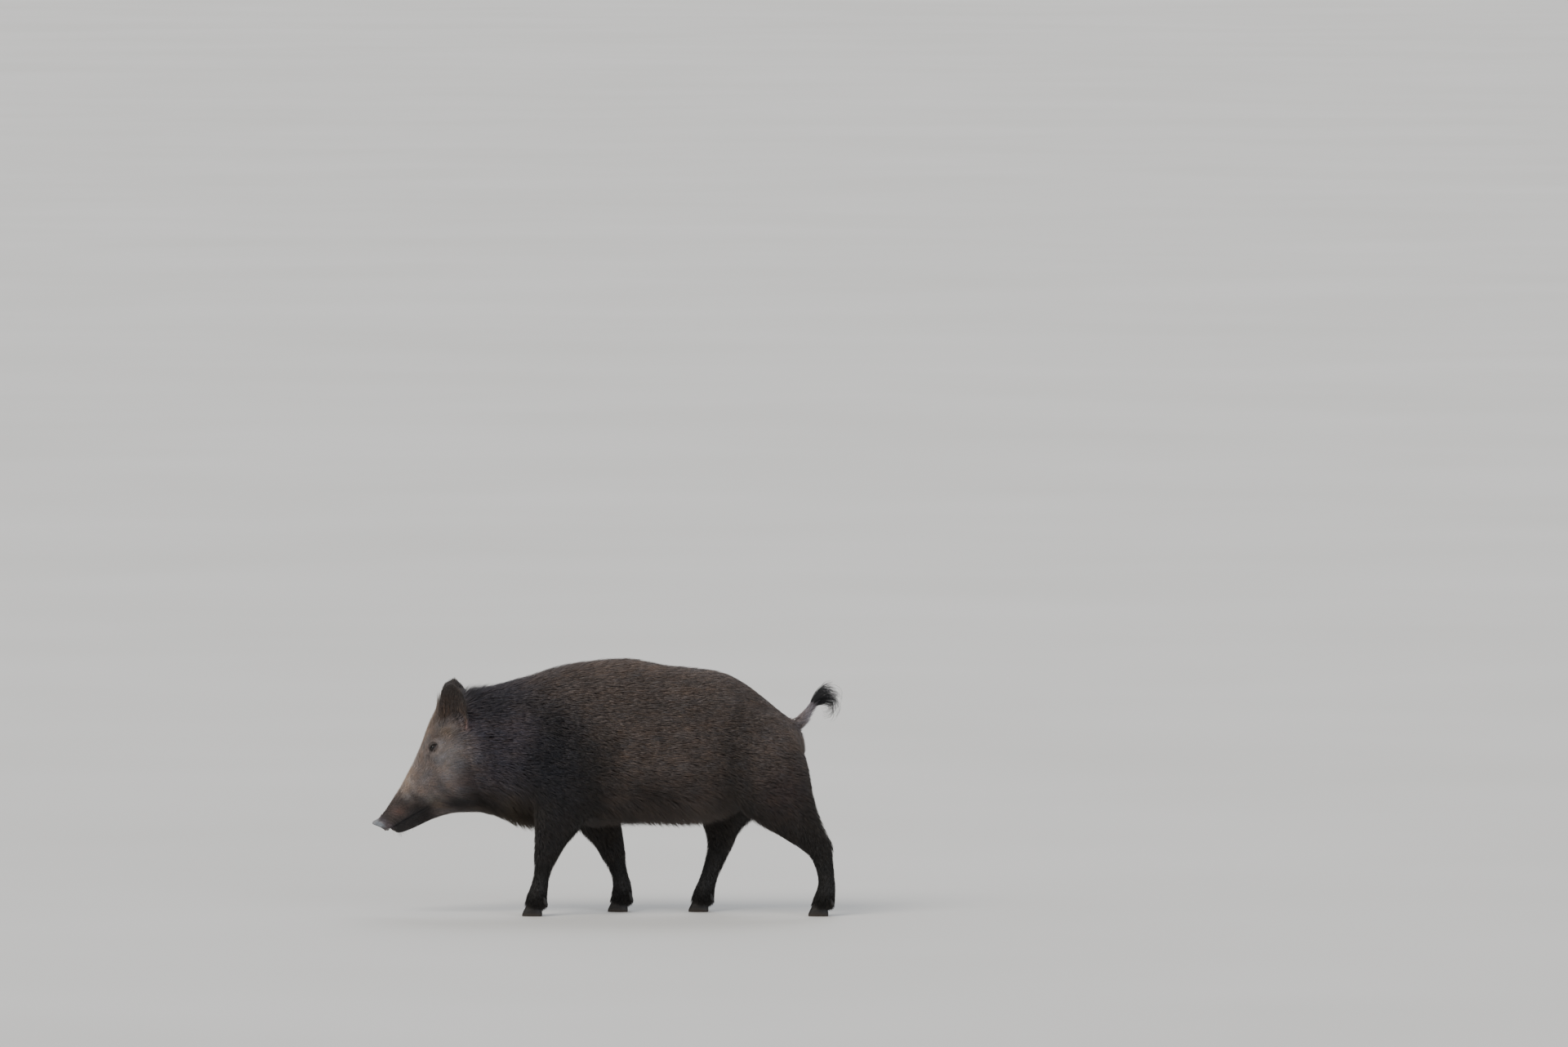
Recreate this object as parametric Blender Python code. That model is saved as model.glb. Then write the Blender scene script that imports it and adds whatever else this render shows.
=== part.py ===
"""A life-size wild boar sow, walking with its head low, as a still museum model.

Frame: metres, +Z up, floor at z = 0, the snout points to -Y and the boar's left side is +X.
The outside of every solid is the outside of the coat. The flesh is modelled whole: lofted tubes
and muscle forms are fused and smoothed, and the body is then parted with thin cuts into head,
jaw, neck, trunk and limbs. Ears, eyes, nose disc, hooves, dewclaws and tail are pieces of their own.
"""

import math
from collections import namedtuple

import bmesh
import bpy
import numpy as np
from mathutils import Matrix, Vector

# ---------------------------------------------------------------- driving dimensions
GAP = 0.0003  # between two pieces that touch
BACK_HEIGHT = 0.750  # floor to the top of the back's coat
RING_POINTS = 32  # around every lofted tube
STEPS = 4  # rings between two named stations
VOXEL = 0.0085  # grid on which the flesh is fused
FLESH_TRIANGLES = 3050  # all flesh together, before it is parted

EYE_RADIUS = 0.0125
EYE_PLACE = Vector((0.0645, -0.4960, 0.4900))
EAR_LENGTH = 0.140
EAR_HALF_WIDTH = 0.052
EAR_THICKNESS = 0.009
EAR_ROOT = Vector((0.078, -0.441, 0.548))
NOSE_TOP = Vector((0, -0.6630, 0.2790))  # where the disc meets the muzzle, on the middle plane
NOSE_BOTTOM = Vector((0, -0.6255, 0.2520))
NOSE_HALF_WIDTH = 0.0425
NOSE_HALF_HEIGHT = 0.0240
NOSE_THICKNESS = 0.012
NOSTRIL_RADIUS = 0.0065
NOSTRIL_DEPTH = 0.006
HOOF_LENGTH = 0.057
HOOF_HALF_WIDTH = 0.0135
HOOF_TOE_HEIGHT = 0.040
HOOF_HEEL_HEIGHT = 0.022
HOOF_SPREAD = 0.0150  # from the foot's middle to each hoof's middle
DEWCLAW_LENGTH = 0.029
DEWCLAW_RADIUS = 0.0065

# ---------------------------------------------------------------- the spine tube, snout to rump
# top and bottom are (y, z) on the side outline, half_width is the widest half, belly_n and back_n
# are how square the section is below and above (2 is an ellipse), and widest is the share of the
# height, from the bottom, at which it is widest.
Station = namedtuple("Station", "name top bottom half_width widest belly_n back_n")
SPINE = (
    Station("muzzle front", (-0.664, 0.2795), (-0.620, 0.236), 0.0400, 0.56, 2.1, 2.3),
    Station("lips", (-0.642, 0.300), (-0.600, 0.2345), 0.0425, 0.50, 2.0, 2.3),
    Station("muzzle", (-0.6175, 0.3385), (-0.566, 0.246), 0.0460, 0.46, 1.9, 2.3),
    Station("nasal", (-0.590, 0.385), (-0.532, 0.262), 0.0515, 0.44, 1.8, 2.2),
    Station("below the eyes", (-0.564, 0.437), (-0.494, 0.279), 0.0640, 0.46, 1.8, 2.1),
    Station("eyes", (-0.538, 0.491), (-0.452, 0.293), 0.0790, 0.48, 1.9, 2.0),
    Station("cheeks", (-0.508, 0.550), (-0.412, 0.300), 0.0930, 0.48, 2.0, 2.0),
    Station("forehead", (-0.470, 0.606), (-0.370, 0.299), 0.0990, 0.48, 2.0, 2.0),
    Station("poll", (-0.409, 0.650), (-0.322, 0.290), 0.1060, 0.48, 2.0, 1.9),
    Station("nape", (-0.330, 0.670), (-0.264, 0.278), 0.1200, 0.48, 2.0, 1.9),
    Station("neck root", (-0.235, 0.695), (-0.200, 0.266), 0.1360, 0.48, 2.0, 1.9),
    Station("shoulders", (-0.130, 0.729), (-0.115, 0.264), 0.1480, 0.48, 2.1, 1.9),
    Station("withers", (-0.030, 0.744), (-0.028, 0.274), 0.1560, 0.47, 2.2, 1.9),
    Station("back", (0.075, BACK_HEIGHT), (0.075, 0.279), 0.1620, 0.46, 2.2, 1.9),
    Station("barrel", (0.165, 0.730), (0.165, 0.277), 0.1650, 0.45, 2.2, 2.0),
    Station("loin", (0.265, 0.722), (0.262, 0.276), 0.1640, 0.46, 2.1, 2.0),
    Station("flank", (0.350, 0.708), (0.342, 0.300), 0.1570, 0.50, 2.0, 2.0),
    Station("croup", (0.425, 0.667), (0.412, 0.340), 0.1450, 0.52, 2.0, 2.0),
    Station("rump", (0.497, 0.607), (0.488, 0.382), 0.1220, 0.55, 2.0, 2.0),
    Station("tail root", (0.556, 0.556), (0.560, 0.440), 0.0780, 0.55, 2.0, 2.0),
    Station("rump end", (0.578, 0.530), (0.588, 0.480), 0.0300, 0.50, 2.0, 2.0),
)

# ---------------------------------------------------------------- the limbs
# Each level is a height above the floor, the limb's half thickness fore and aft across its own
# line, its half thickness sideways, and how far its middle lies from the body's middle plane.
Level = namedtuple("Level", "name height fore_aft sideways out")
FORE_LEVELS = (
    Level("shoulder blade", 0.560, 0.085, 0.050, 0.082),
    Level("shoulder", 0.480, 0.108, 0.064, 0.092),
    Level("upper arm", 0.395, 0.100, 0.062, 0.098),
    Level("elbow", 0.320, 0.084, 0.055, 0.098),
    Level("forearm", 0.262, 0.064, 0.046, 0.097),
    Level("low forearm", 0.208, 0.043, 0.037, 0.094),
    Level("knee", 0.165, 0.0345, 0.0335, 0.091),
    Level("cannon", 0.115, 0.0255, 0.0245, 0.089),
    Level("fetlock", 0.076, 0.0300, 0.0300, 0.088),
    Level("pastern", 0.052, 0.0275, 0.0305, 0.087),
    Level("coronet", 0.016, 0.0290, 0.0315, 0.087),
)
HIND_LEVELS = (
    Level("hip", 0.590, 0.100, 0.052, 0.078),
    Level("upper thigh", 0.500, 0.128, 0.064, 0.092),
    Level("thigh", 0.400, 0.128, 0.062, 0.100),
    Level("stifle", 0.335, 0.106, 0.054, 0.100),
    Level("upper shank", 0.278, 0.073, 0.044, 0.096),
    Level("shank", 0.236, 0.050, 0.036, 0.092),
    Level("hock", 0.196, 0.0380, 0.0320, 0.089),
    Level("below the hock", 0.152, 0.0310, 0.0265, 0.087),
    Level("cannon", 0.108, 0.0265, 0.0250, 0.086),
    Level("fetlock", 0.074, 0.0300, 0.0300, 0.086),
    Level("pastern", 0.052, 0.0275, 0.0305, 0.086),
    Level("coronet", 0.016, 0.0290, 0.0315, 0.086),
)
# Where the middle of each limb runs, front to back, at its levels. The left forefoot and the
# right hind foot are ahead, the other two behind, as at a walk.
LIMB_LINES = {
    "left_foreleg": (-0.085, -0.098, -0.108, -0.118, -0.138, -0.160, -0.172, -0.183, -0.191, -0.198, -0.206),
    "right_foreleg": (-0.085, -0.095, -0.085, -0.060, -0.025, 0.008, 0.026, 0.042, 0.052, 0.050, 0.042),
    "left_hindleg": (0.405, 0.440, 0.468, 0.492, 0.534, 0.578, 0.622, 0.640, 0.648, 0.648, 0.640, 0.628),
    "right_hindleg": (0.400, 0.425, 0.415, 0.385, 0.355, 0.340, 0.338, 0.322, 0.306, 0.295, 0.287, 0.278),
}
# Where each limb is parted from the trunk: a tongue with a round top, seen from the side.
Root = namedtuple("Root", "middle_y top_height radius")
LIMB_ROOTS = {
    "left_foreleg": Root(-0.112, 0.440, 0.118),
    "right_foreleg": Root(-0.088, 0.440, 0.122),
    "left_hindleg": Root(0.462, 0.450, 0.150),
    "right_hindleg": Root(0.418, 0.450, 0.150),
}
LIMB_ROOT_DEPTH = 0.062  # from the middle plane to the cut, at the tongue's top
LIMB_ROOT_FLOOR = 0.002  # the same, at the floor
JOINT_HEIGHTS = {"foreleg": 0.168, "hindleg": 0.200}  # knee and hock, where each limb is parted

# Muscle and bone that swell the fused tubes, and hollows that dent them: a bell-shaped rise of
# the surface around a place, with its reach along X, Y and Z after a turn about X in degrees.
Swell = namedtuple("Swell", "name middle reach turn rise")
SWELLS = (
    Swell("jaw muscle", (0.085, -0.425, 0.375), (0.070, 0.042, 0.058), 25, 0.0110),
    Swell("cheekbone", (0.085, -0.478, 0.452), (0.060, 0.044, 0.020), -48, 0.0085),
    Swell("brow", (0.058, -0.505, 0.520), (0.028, 0.022, 0.026), -28, 0.0075),
    Swell("ear muscle", (0.080, -0.425, 0.566), (0.045, 0.038, 0.038), 0, 0.0130),
    Swell("eye socket", (0.078, -0.498, 0.490), (0.030, 0.014, 0.012), -30, -0.0065),
    Swell("hollow before the eye", (0.055, -0.545, 0.440), (0.040, 0.024, 0.020), -40, -0.0060),
    Swell("lip and tusk root", (0.040, -0.600, 0.288), (0.030, 0.026, 0.018), -40, 0.0045),
    Swell("neck groove", (0.130, -0.330, 0.420), (0.080, 0.026, 0.085), 16, -0.0070),
    Swell("point of shoulder", (0.140, -0.205, 0.405), (0.070, 0.052, 0.060), 0, 0.0130),
    Swell("shoulder blade", (0.150, -0.075, 0.545), (0.090, 0.062, 0.115), 14, 0.0120),
    Swell("hollow behind the shoulder", (0.170, 0.035, 0.440), (0.090, 0.034, 0.110), 0, -0.0070),
    Swell("flank hollow", (0.165, 0.300, 0.520), (0.080, 0.046, 0.085), 18, -0.0100),
    Swell("hip", (0.120, 0.335, 0.640), (0.070, 0.050, 0.045), 0, 0.0080),
    Swell("haunch", (0.145, 0.450, 0.500), (0.080, 0.080, 0.105), -20, 0.0100),
)


# ---------------------------------------------------------------- small tools
def clear_scene():
    """Removes whatever the file holds."""
    for obj in list(bpy.data.objects):
        bpy.data.objects.remove(obj, do_unlink=True)


def material(name, colour, roughness, metallic=0.0):
    """A Principled material. colour is linear red, green and blue."""
    made = bpy.data.materials.new(name)
    made.use_nodes = True
    shader = made.node_tree.nodes["Principled BSDF"]
    shader.inputs["Base Color"].default_value = (*colour, 1.0)
    shader.inputs["Roughness"].default_value = roughness
    shader.inputs["Metallic"].default_value = metallic
    return made


def add_object(name, mesh, finish=None):
    """Links a mesh, or a bmesh that it then frees, to the scene as a named object."""
    if isinstance(mesh, bmesh.types.BMesh):
        built, mesh = mesh, bpy.data.meshes.new(name)
        built.to_mesh(mesh)
        built.free()
    obj = bpy.data.objects.new(name, mesh)
    bpy.context.scene.collection.objects.link(obj)
    if finish is not None:
        mesh.materials.clear()
        mesh.materials.append(finish)
    return obj


def apply_modifiers(obj):
    """Bakes an object's modifiers into its mesh."""
    bpy.context.view_layer.update()
    graph = bpy.context.evaluated_depsgraph_get()
    mesh = bpy.data.meshes.new_from_object(obj.evaluated_get(graph))
    obj.modifiers.clear()
    obj.data = mesh


def remove(*objects):
    """Deletes helpers once they have done their work."""
    for obj in objects:
        bpy.data.objects.remove(obj, do_unlink=True)


def triangulate(obj):
    """Makes every face a triangle, because a bent face can mislead an exact cut."""
    mesh = bmesh.new()
    mesh.from_mesh(obj.data)
    bmesh.ops.triangulate(mesh, faces=mesh.faces)
    mesh.to_mesh(obj.data)
    mesh.free()


def boolean(obj, tool, operation):
    """Cuts, joins or intersects obj with tool, exactly, and applies it."""
    triangulate(obj)
    triangulate(tool)
    modifier = obj.modifiers.new("boolean", "BOOLEAN")
    modifier.object = tool
    modifier.operation = operation
    modifier.solver = "EXACT"
    modifier.use_self = True
    apply_modifiers(obj)


def copy_of(obj, name):
    """A copy with its own mesh."""
    return add_object(name, obj.data.copy())


def swollen(obj, by):
    """A helper copy of obj whose surface stands out by a distance, to cut room for obj."""
    helper = copy_of(obj, "swollen")
    displace = helper.modifiers.new("swell", "DISPLACE")
    displace.strength = by
    displace.mid_level = 0.0
    apply_modifiers(helper)
    return helper


def make_room(piece, *neighbours):
    """Cuts piece back so that it meets each neighbour across the gap."""
    for neighbour in neighbours:
        helper = swollen(neighbour, GAP)
        boolean(piece, helper, "DIFFERENCE")
        remove(helper)


def shade(obj, degrees=40):
    """Smooth shading, with sharp edges where the surface turns by more than an angle."""
    obj.data.shade_smooth()
    obj.data.set_sharp_from_angle(angle=math.radians(degrees))


def smooth_rows(rows, steps):
    """Rows of numbers with a Catmull-Rom curve's values put between them, steps to each interval."""
    rows = np.asarray(rows, float)
    padded = np.vstack([2 * rows[0] - rows[1], rows, 2 * rows[-1] - rows[-2]])
    made = []
    for index in range(len(rows) - 1):
        before, start, end, after = padded[index : index + 4]
        for step in range(steps):
            t = step / steps
            made.append(
                0.5
                * (
                    2 * start
                    + (end - before) * t
                    + (2 * before - 5 * start + 4 * end - after) * t**2
                    + (3 * start - 3 * end + after - before) * t**3
                )
            )
    made.append(rows[-1])
    return np.array(made)


def loft(rings):
    """A closed bmesh through rings of points, capped at both ends."""
    mesh = bmesh.new()
    count = len(rings[0])
    rows = [[mesh.verts.new(point) for point in ring] for ring in rings]
    for near, far in zip(rows, rows[1:], strict=False):
        for i in range(count):
            j = (i + 1) % count
            mesh.faces.new((near[i], near[j], far[j], far[i]))
    mesh.faces.new(list(reversed(rows[0])))
    mesh.faces.new(rows[-1])
    bmesh.ops.recalc_face_normals(mesh, faces=mesh.faces)
    return mesh


def ball(name, middle, half_sizes, turn=0.0, segments=24):
    """An ellipsoid turned about X."""
    mesh = bmesh.new()
    place = (
        Matrix.Translation(middle)
        @ Matrix.Rotation(math.radians(turn), 4, "X")
        @ Matrix.Diagonal((*half_sizes, 1.0))
    )
    bmesh.ops.create_uvsphere(mesh, u_segments=segments, v_segments=segments // 2, radius=1.0, matrix=place)
    return add_object(name, mesh)


def signed_power(value, power):
    """value to a power, with its sign kept, as a superellipse needs."""
    return math.copysign(abs(value) ** power, value)


def cut_by_plane(obj, point, normal):
    """Removes what lies on the normal's side of a plane and closes the cut."""
    mesh = bmesh.new()
    mesh.from_mesh(obj.data)
    geometry = mesh.verts[:] + mesh.edges[:] + mesh.faces[:]
    bmesh.ops.bisect_plane(mesh, geom=geometry, plane_co=point, plane_no=normal, clear_outer=True)
    open_edges = [edge for edge in mesh.edges if edge.is_boundary]
    filled = bmesh.ops.holes_fill(mesh, edges=open_edges, sides=0)
    bmesh.ops.triangulate(mesh, faces=filled["faces"])
    bmesh.ops.recalc_face_normals(mesh, faces=mesh.faces)
    mesh.to_mesh(obj.data)
    mesh.free()


def part_by_plane(obj, name, point, normal):
    """Parts obj across a plane. What lies on the normal's side becomes a new object."""
    normal = Vector(normal).normalized()
    point = Vector(point)
    beyond = copy_of(obj, name)
    cut_by_plane(obj, point - normal * GAP / 2, normal)
    cut_by_plane(beyond, point + normal * GAP / 2, -normal)
    return beyond


def part_by_tool(obj, name, tool):
    """Parts obj with a closed tool. What lies inside the tool becomes a new object."""
    inside = copy_of(obj, name)
    boolean(inside, tool, "INTERSECT")
    helper = swollen(tool, GAP)
    boolean(obj, helper, "DIFFERENCE")
    remove(helper, tool)
    return inside


def side_sign(side):
    """+1 for the boar's left, which is +X, and -1 for its right."""
    return 1.0 if side == "left" else -1.0


# ---------------------------------------------------------------- flesh
def spine_ring(row):
    """One ring of the spine tube, from a row of smoothed station values."""
    top, bottom = Vector((0, row[0], row[1])), Vector((0, row[2], row[3]))
    half_width, widest, belly_n, back_n = row[4:]
    upright = (top - bottom).normalized()
    height = (top - bottom).length
    middle = bottom + upright * height * widest
    points = []
    for i in range(RING_POINTS):
        angle = 2 * math.pi * i / RING_POINTS
        above = math.sin(angle) >= 0
        power = 2 / (back_n if above else belly_n)
        reach = height * ((1 - widest) if above else widest)
        points.append(
            middle
            + Vector((half_width * signed_power(math.cos(angle), power), 0, 0))
            + upright * reach * signed_power(math.sin(angle), power)
        )
    return points


def spine_tube():
    """Head, neck and trunk as one loft through the stations."""
    rows = [(*s.top, *s.bottom, s.half_width, s.widest, s.belly_n, s.back_n) for s in SPINE]
    return add_object("spine", loft([spine_ring(row) for row in smooth_rows(rows, STEPS)]))


def limb_rows(side, limb):
    """Smoothed rows of a limb: height, half fore-aft, half sideways, out, and the middle's y."""
    levels = FORE_LEVELS if limb == "foreleg" else HIND_LEVELS
    line = LIMB_LINES[f"{side}_{limb}"]
    rows = [(*level[1:], y) for level, y in zip(levels, line, strict=True)]
    return smooth_rows(rows, STEPS)


def limb_slices(side, limb):
    """The limb's rows with each fore-aft half made that of a level slice: a slanting limb's level
    slice is longer than the limb is thick."""
    rows = limb_rows(side, limb)
    rows[:, 1] *= np.sqrt(1 + np.gradient(rows[:, 4], rows[:, 0]) ** 2)
    return rows


def limb_tube(side, limb):
    """One limb as level rings."""
    rings = []
    for height, reach, sideways, out, middle in limb_slices(side, limb):
        ring = []
        for i in range(RING_POINTS):
            angle = 2 * math.pi * i / RING_POINTS
            across = out * side_sign(side) + sideways * math.cos(angle)
            ring.append(Vector((across, middle + reach * math.sin(angle), height)))
        rings.append(ring)
    return add_object(f"{side}_{limb}", loft(rings))


def swell(flesh):
    """Raises and dents the flesh at the named places, the same on both sides."""
    mesh = flesh.data
    places = np.array([vertex.co for vertex in mesh.vertices])
    normals = np.array([vertex.normal for vertex in mesh.vertices])
    rise = np.zeros(len(places))
    for form in SWELLS:
        turn = np.array(Matrix.Rotation(math.radians(form.turn), 3, "X"))
        for sign in (1, -1):
            offset = (places - np.array(form.middle) * (sign, 1, 1)) @ turn
            rise += form.rise * np.exp(-((offset / form.reach) ** 2).sum(axis=1))
    places += normals * rise[:, None]
    mesh.vertices.foreach_set("co", places.ravel())
    mesh.update()


def fused_flesh():
    """The whole body in one closed skin: tubes fused on a grid, smoothed, swelled and thinned."""
    pieces = [spine_tube()]
    pieces += [limb_tube(side, limb) for side in ("left", "right") for limb in ("foreleg", "hindleg")]
    mesh = bmesh.new()
    for piece in pieces:
        mesh.from_mesh(piece.data)
    remove(*pieces)
    flesh = add_object("flesh", mesh)
    fuse = flesh.modifiers.new("fuse", "REMESH")
    fuse.mode = "VOXEL"
    fuse.voxel_size = VOXEL
    apply_modifiers(flesh)
    soften(flesh)
    swell(flesh)
    thin = flesh.modifiers.new("thin", "DECIMATE")
    thin.ratio = FLESH_TRIANGLES / (2 * len(flesh.data.polygons))
    apply_modifiers(flesh)
    return flesh


def soften(flesh):
    """Smooths everywhere a little, and strongly where a limb grows out of the trunk."""
    heights = np.array([vertex.co.z for vertex in flesh.data.vertices])
    lengths = np.array([vertex.co.y for vertex in flesh.data.vertices])
    on_trunk = np.clip((heights - 0.24) / 0.08, 0, 1) * np.clip((lengths + 0.36) / 0.08, 0, 1)
    group = flesh.vertex_groups.new(name="trunk")
    for index, weight in enumerate(on_trunk):
        group.add([index], float(weight), "REPLACE")
    light = flesh.modifiers.new("light", "SMOOTH")
    light.factor, light.iterations = 0.5, 5
    strong = flesh.modifiers.new("strong", "SMOOTH")
    strong.factor, strong.iterations, strong.vertex_group = 0.5, 22, "trunk"
    apply_modifiers(flesh)


# ---------------------------------------------------------------- parting tools
def tongue(side, limb):
    """The closed tool that parts a limb from the trunk: a prism with a round top that follows the
    limb below it. Its inner face slants, so that the limb keeps the muscle on the body's side."""
    root = LIMB_ROOTS[f"{side}_{limb}"]
    sign = side_sign(side)
    outer, margin = 0.35, 0.016
    rows = limb_slices(side, limb)[::-1]
    outline = []
    for i in range(13):
        angle = math.pi * i / 12
        outline.append(
            (root.middle_y + root.radius * math.cos(angle), root.top_height + root.radius * math.sin(angle))
        )
    front, back = [], []
    for height in (0.40, 0.35, 0.30, 0.25, 0.20, 0.15, 0.08, -0.05):
        middle = float(np.interp(height, rows[:, 0], rows[:, 4]))
        reach = float(np.interp(height, rows[:, 0], rows[:, 1])) + margin
        front.append((middle - reach, height))
        back.append((middle + reach, height))
    outline += front + back[::-1]
    top = root.top_height + root.radius
    mesh = bmesh.new()
    walls = []
    for inner in (True, False):
        wall = []
        for y, z in outline:
            depth = LIMB_ROOT_FLOOR + (LIMB_ROOT_DEPTH - LIMB_ROOT_FLOOR) * max(z, 0.0) / top
            wall.append(mesh.verts.new((sign * (depth if inner else outer), y, z)))
        walls.append(wall)
    count = len(outline)
    for i in range(count):
        j = (i + 1) % count
        mesh.faces.new((walls[0][i], walls[0][j], walls[1][j], walls[1][i]))
    mesh.faces.new(walls[0])
    mesh.faces.new(walls[1])
    bmesh.ops.triangulate(mesh, faces=mesh.faces)
    bmesh.ops.recalc_face_normals(mesh, faces=mesh.faces)
    return add_object("tongue", mesh)


def jaw_tool():
    """The closed tool that parts the lower jaw along the mouth: a prism across the muzzle."""
    outline = (
        (-0.700, 0.2350),  # ahead of the lips
        (-0.634, 0.2460),  # under the nose disc
        (-0.575, 0.280),  # along the mouth
        (-0.520, 0.312),  # corner of the mouth
        (-0.440, 0.345),  # jaw joint
        (-0.415, 0.250),  # angle of the jaw
        (-0.500, 0.180),
        (-0.700, 0.180),
    )
    rings = [[Vector((x, y, z)) for y, z in outline] for x in (-0.2, 0.2)]
    mesh = loft(rings)
    bmesh.ops.triangulate(mesh, faces=mesh.faces)
    return add_object("jaw tool", mesh)


# ---------------------------------------------------------------- pieces of their own
def nose_axes():
    """The disc's middle, and unit vectors forward, out of the muzzle, and up in its plane."""
    upward = (NOSE_TOP - NOSE_BOTTOM).normalized()
    return (NOSE_TOP + NOSE_BOTTOM) / 2, Vector((1, 0, 0)).cross(upward), upward


def nose_disc(finish):
    """The bare disc at the snout's end, with a rolled rim and two nostrils."""
    middle, forward, upward = nose_axes()
    # Share of the thickness, and size there: a neck behind, then the rolled rim, then a flat face.
    profile = ((0.0, 0.86), (0.25, 0.95), (0.55, 1.0), (0.85, 0.97), (1.0, 0.84))
    rings = []
    for share, size in profile:
        ring = []
        for i in range(RING_POINTS):
            angle = 2 * math.pi * i / RING_POINTS
            across = NOSE_HALF_WIDTH * size * signed_power(math.cos(angle), 0.88)
            along = NOSE_HALF_HEIGHT * size * signed_power(math.sin(angle), 0.88)
            lift = forward * (GAP + share * NOSE_THICKNESS)
            ring.append(middle + lift + Vector((across, 0, 0)) + upward * along)
        rings.append(ring)
    disc = add_object("nose_disc", loft(rings), finish)
    for sign in (1, -1):
        hole = ball(
            "nostril",
            middle
            + forward * (NOSE_THICKNESS + GAP + NOSTRIL_RADIUS * 0.4)
            + Vector((sign * 0.0155, 0, 0))
            + upward * 0.001,
            (NOSTRIL_RADIUS, NOSTRIL_RADIUS + NOSTRIL_DEPTH * 0.4, NOSTRIL_RADIUS * 0.9),
            turn=45,
            segments=12,
        )
        boolean(disc, hole, "DIFFERENCE")
        remove(hole)
    return disc


def ear(side, finish):
    """A cupped leaf of skin, broad below and pointed above, open to the front and outside."""
    sign = side_sign(side)
    upward = Vector((0.30 * sign, 0.04, 0.95)).normalized()
    opening = Vector((0.86 * sign, -0.50, -0.12))
    opening = (opening - upward * opening.dot(upward)).normalized()
    across = upward.cross(opening).normalized()
    root = Vector((EAR_ROOT.x * sign, EAR_ROOT.y, EAR_ROOT.z))
    lengthwise, crosswise = 9, 6
    cup, lean = 0.028, 0.016
    rings = []
    for i in range(lengthwise + 1):
        u = i / lengthwise
        half = EAR_HALF_WIDTH * (0.80 + 0.75 * u - 0.4 * u**2) * math.sqrt(max(1 - u**2.6, 0.004))
        back, front = [], []
        for k in range(crosswise + 1):
            v = 2 * k / crosswise - 1
            sink = cup * (1 - v**2) * (1 - 0.72 * u) - lean * u**2
            middle = root + upward * EAR_LENGTH * u + across * half * v - opening * sink
            thick = EAR_THICKNESS / 2 * (1 - 0.35 * u) * math.sqrt(max(1 - v**4, 0.0))
            thick *= min(1.0, half / 0.012)
            back.append(middle - opening * thick)
            if 0 < k < crosswise:
                front.append(middle + opening * thick)
        rings.append(back + front[::-1])
    return add_object(f"{side}_ear", loft(rings), finish)


def foot_frame(side, limb):
    """The middle of a foot's sole, at floor level."""
    rows = limb_rows(side, limb)
    return Vector((side_sign(side) * rows[-1][3], rows[-1][4], 0.0))


def coronet_plane(side, limb):
    """Point and upward normal of the slanting plane on which the hooves end and the leg begins."""
    sole = foot_frame(side, limb)
    slope = (HOOF_TOE_HEIGHT - HOOF_HEEL_HEIGHT) / HOOF_LENGTH
    point = sole + Vector((0, 0, (HOOF_TOE_HEIGHT + HOOF_HEEL_HEIGHT) / 2))
    return point, Vector((0, slope, 1)).normalized()


def hoof(side, limb, which, finish):
    """One main hoof: a wedge with a round toe, a straight inner wall and a sloping front."""
    sole = foot_frame(side, limb)
    outward = side_sign(side) * (1 if which == "outer" else -1)
    middle_x = sole.x + outward * HOOF_SPREAD
    rings = []
    heights = (0.0, 0.004, 0.016, 0.030, 0.052)
    for height in heights:
        rise = height / heights[-1]
        narrow = 1.0 - 0.10 * rise - (0.10 if height == 0.0 else 0.0)
        toe = -HOOF_LENGTH * 0.62 * (1 - 0.42 * rise)
        heel = HOOF_LENGTH * 0.46 * (1 - 0.05 * rise)
        if height == 0.0:
            toe, heel = toe * 0.95, heel * 0.95
        ring = []
        for i in range(16):
            angle = 2 * math.pi * i / 16
            across = signed_power(math.cos(angle), 0.8)
            across *= 1 - 0.30 * max(0.0, -math.sin(angle)) ** 2  # the toe comes to a blunt point
            # The wall towards the other hoof is nearly straight.
            across *= HOOF_HALF_WIDTH * narrow * (1.0 if across > 0 else 0.92)
            along = signed_power(math.sin(angle), 0.85 if math.sin(angle) > 0 else 1.0)
            reach = heel if along > 0 else -toe
            ring.append(Vector((middle_x + outward * across, sole.y + reach * along, height)))
        rings.append(ring)
    made = add_object(f"{side}_{limb}_{which}_hoof", loft(rings), finish)
    point, normal = coronet_plane(side, limb)
    cut_by_plane(made, point - normal * GAP / 2, normal)
    return made


def dewclaw(side, limb, which, finish):
    """One small claw behind the pastern, pointing down and back, clear of the floor."""
    sole = foot_frame(side, limb)
    outward = side_sign(side) * (1 if which == "outer" else -1)
    start = sole + Vector((outward * 0.0165, 0.026, 0.056))
    tip = sole + Vector((outward * 0.0225, 0.040, 0.056 - DEWCLAW_LENGTH))
    axis = (tip - start).normalized()
    turn = axis.to_track_quat("Z", "Y").to_matrix()
    rings = []
    for share, size in ((0.0, 1.0), (0.6, 1.0), (0.9, 0.6), (1.0, 0.25)):
        ring = []
        for i in range(7):
            angle = 2 * math.pi * i / 7
            spread = Vector((math.cos(angle), math.sin(angle), 0)) * DEWCLAW_RADIUS * size
            ring.append(start.lerp(tip, share) + turn @ spread)
        rings.append(ring)
    return add_object(f"{side}_{limb}_{which}_dewclaw", loft(rings), finish)


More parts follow.
